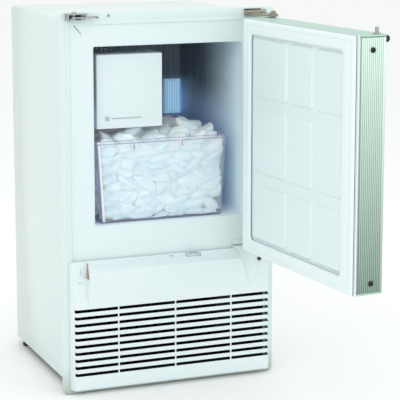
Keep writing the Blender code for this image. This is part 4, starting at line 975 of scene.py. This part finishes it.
def door_trim():
    """Screws, latch stud and round button on the door."""
    screws("door_edge_screws", "-X", [(-183.0, -37.0, 626.0)], 4.6, "door", M["gloss_black"],
           ["door_screw_top"], door=True)
    screws("door_foot_screw", "-X", [(-183.0, -40.0, 259.0)], 4.6, "door", M["gloss_black"],
           ["door_screw_bottom"], door=True)
    bm = bmesh.new()
    x, y, base = -176.0, -48.0, 650.0
    lathe(bm, "Z", x, y, [(0.0, base), (6.2, base), (6.6, base + 0.4), (6.6, base + 1.2), (6.2, base + 1.6),
                          (3.2, base + 1.6), (3.2, base + 10.0), (2.9, base + 10.7), (2.2, base + 11.0),
                          (0.0, base + 11.0)])
    piece("latch_stud", bm, M["zinc_steel"], "door", ["door_stud"], door=True)
    bm = bmesh.new()
    lathe(bm, "Y", -175.0, 642.0, [(0.0, -62.3), (5.0, -62.3), (5.8, -63.6), (6.0, -65.4), (5.8, -67.4),
                                   (5.0, -69.2), (3.6, -70.4), (1.8, -71.0), (0.0, -71.1)])
    piece("door_button", bm, M["black_plastic"], "door", ["door_knob"], door=True)


# Machine parts that are shown as their CAD solids with eased edges, and by how many millimetres.
EASED = {
    "lower_hinge_plate": 0.35, "lower_hinge_pin": 0.3,
    "latch_bracket": 0.3, "latch_arm": 0.4, "door_skin": 0.4,
    "compressor": 0.6, "water_valve": 0.6,
    "fan_blade": 0.3, "fan_motor": 0.5, "shutoff_arm": 0.0,
    "ice_mould": 0.4, "ice_stripper": 0.4, "icemaker_housing": 0.5, "thermostat_guard": 0.4,
    "leg_front_left": 0.4, "leg_front_right": 0.4, "leg_rear_left": 0.4, "leg_rear_right": 0.4,
    "cord_gland": 0.4, "fill_cup": 0.4, "drive_motor": 0.5, "evaporator_plate": 0.4,
    "rear_panel": 0.3,
}
# Machine parts made near-black as painted shade.
PAINTED_SHADE_PARTS = ("base_pan", "foam_insulation", "fan_shroud", "control_box", "condenser")
MACHINE_TOP = 236.0
REAR_FACE = 349.9
LEDGE_FOOT = 158.0
LEDGE_HEIGHT = 77.8


def ledge_details():
    """A painted shadow wedge at the ledge's left end, two faint marks beside it, and a painted shadow line
    under the hinge leaf's lower edge.
    """
    def face(z):
        return -17.0 + 10.0 * (z - LEDGE_FOOT) / LEDGE_HEIGHT

    bm = bmesh.new()
    skin(bm, [[(x, -11.2, 234.2), (x, -12.4, 234.2), (x, -21.0, 208.0), (x, -10.9, 208.0)]
              for x in (-158.4, -156.6)])
    piece("ledge_shadow_wedge", bm, M["notch_painted_shadow"], "cabinet")
    bm = bmesh.new()
    for x0, x1, z0, z1 in ((-169.8, -168.2, 213.0, 225.0), (-175.5, -168.8, 199.4, 201.2)):
        skin(bm, [[(x0 + d, face(z0) + y, z0 + d), (x1 - d, face(z0) + y, z0 + d),
                   (x1 - d, face(z1) + y, z1 - d), (x0 + d, face(z1) + y, z1 - d)]
                  for y, d in ((0.6, 0.0), (-0.3, 0.0), (-0.7, 0.3))])
    piece("ledge_marks", bm, M["surround_grey"], "cabinet")
    bm = bmesh.new()
    block(bm, (119.0, 0.1, 239.8), (150.0, 0.9, 241.4), 0.25)
    piece("hinge_shadow_line", bm, M["notch_painted_shadow"], "cabinet")


def in_slots(p, normal):
    """Whether a face of the grille is inside it or in its slots, where it gets painted shade."""
    in_rows = 34.0 < p.z < 156.0 and abs(p.x) < 185.8
    inner = normal.y > 0.5 or (abs(normal.z) > 0.4 and p.y > -16.7) or (normal.y < -0.5 and p.y > -8.0)
    return in_rows and inner


def build():
    trim_flange()
    breaker()
    liner_tub()
    unit_cover()
    bin_shell()
    ice_pile()
    door_edge(-1.0, "door_free_edge", "door_edge_free")
    door_edge(1.0, "door_hinge_edge", "door_edge_hinge")
    door_panel()
    door_seal()
    top_hinge()
    latch_insert()
    ledge_details()
    door_trim()
    screws("flange_screw", "-Y", [(-111.0, -0.1, 657.0)], 2.2, "cabinet", M["hinge_metal"])
    screws("ledge_screw", "+Z", [(-1.0, -7.0, 233.0)], 3.4, "cabinet", M["surround_grey"])
    screws("grille_fixing", "-Y", [(166.5, -10.8, 214.5)], 3.6, "cabinet", M["black_paint"],
           ["grille_screw"])
    rear_spots = [(x, REAR_FACE, z) for x in (-172.0, 172.0) for z in (44.0, 190.0, 340.0, 490.0, 638.0)]
    rear_spots.append((0.0, REAR_FACE, 638.0))
    screws("rear_screws", "+Y", rear_spots, 3.6, "cabinet", M["zinc_steel"])
    for node, width in EASED.items():
        refine(node, node + "_shown", width)
    # Painted shade: the grille's slot faces and the wrapper's inside below the machine top are made
    # near-black.
    refine("grille", "louvred_grille", 0.3, dark=in_slots, merge=False)
    refine("cabinet_shell", "cabinet_wrap", 0.4, split=MACHINE_TOP,
           dark=lambda p, n: 14.6 < p.z < MACHINE_TOP and abs(p.x) < 182.0)
    refine("door_cap_top", "door_top_cap", 0.5, mat=M["cap_aluminium"])
    refine("door_cap_bottom", "door_foot_cap", 0.5, mat=M["cap_aluminium"])
    refine("switch_bezel", "rocker_surround", 0.8, mat=M["surround_grey"])
    refine("rocker_switch", "rocker", 0.3, mat=M["rocker_grey"], dark=lambda p, n: p.x > 43.0)
    for node in PAINTED_SHADE_PARTS:
        frame["nodes"][node].material_slots[0].material = M["machine_dark"]


HEAD = head_mesh()

add_camera()
add_light()
add_floor()

SLOT_OF = {row["node"]: row["material_slot"] for row in frame["record"]["subparts"]}
for node_name, cad_object in frame["nodes"].items():
    for cad_slot in cad_object.material_slots:
        cad_slot.link = "OBJECT"
        cad_slot.material = M[SLOT_OF[node_name]]

build()
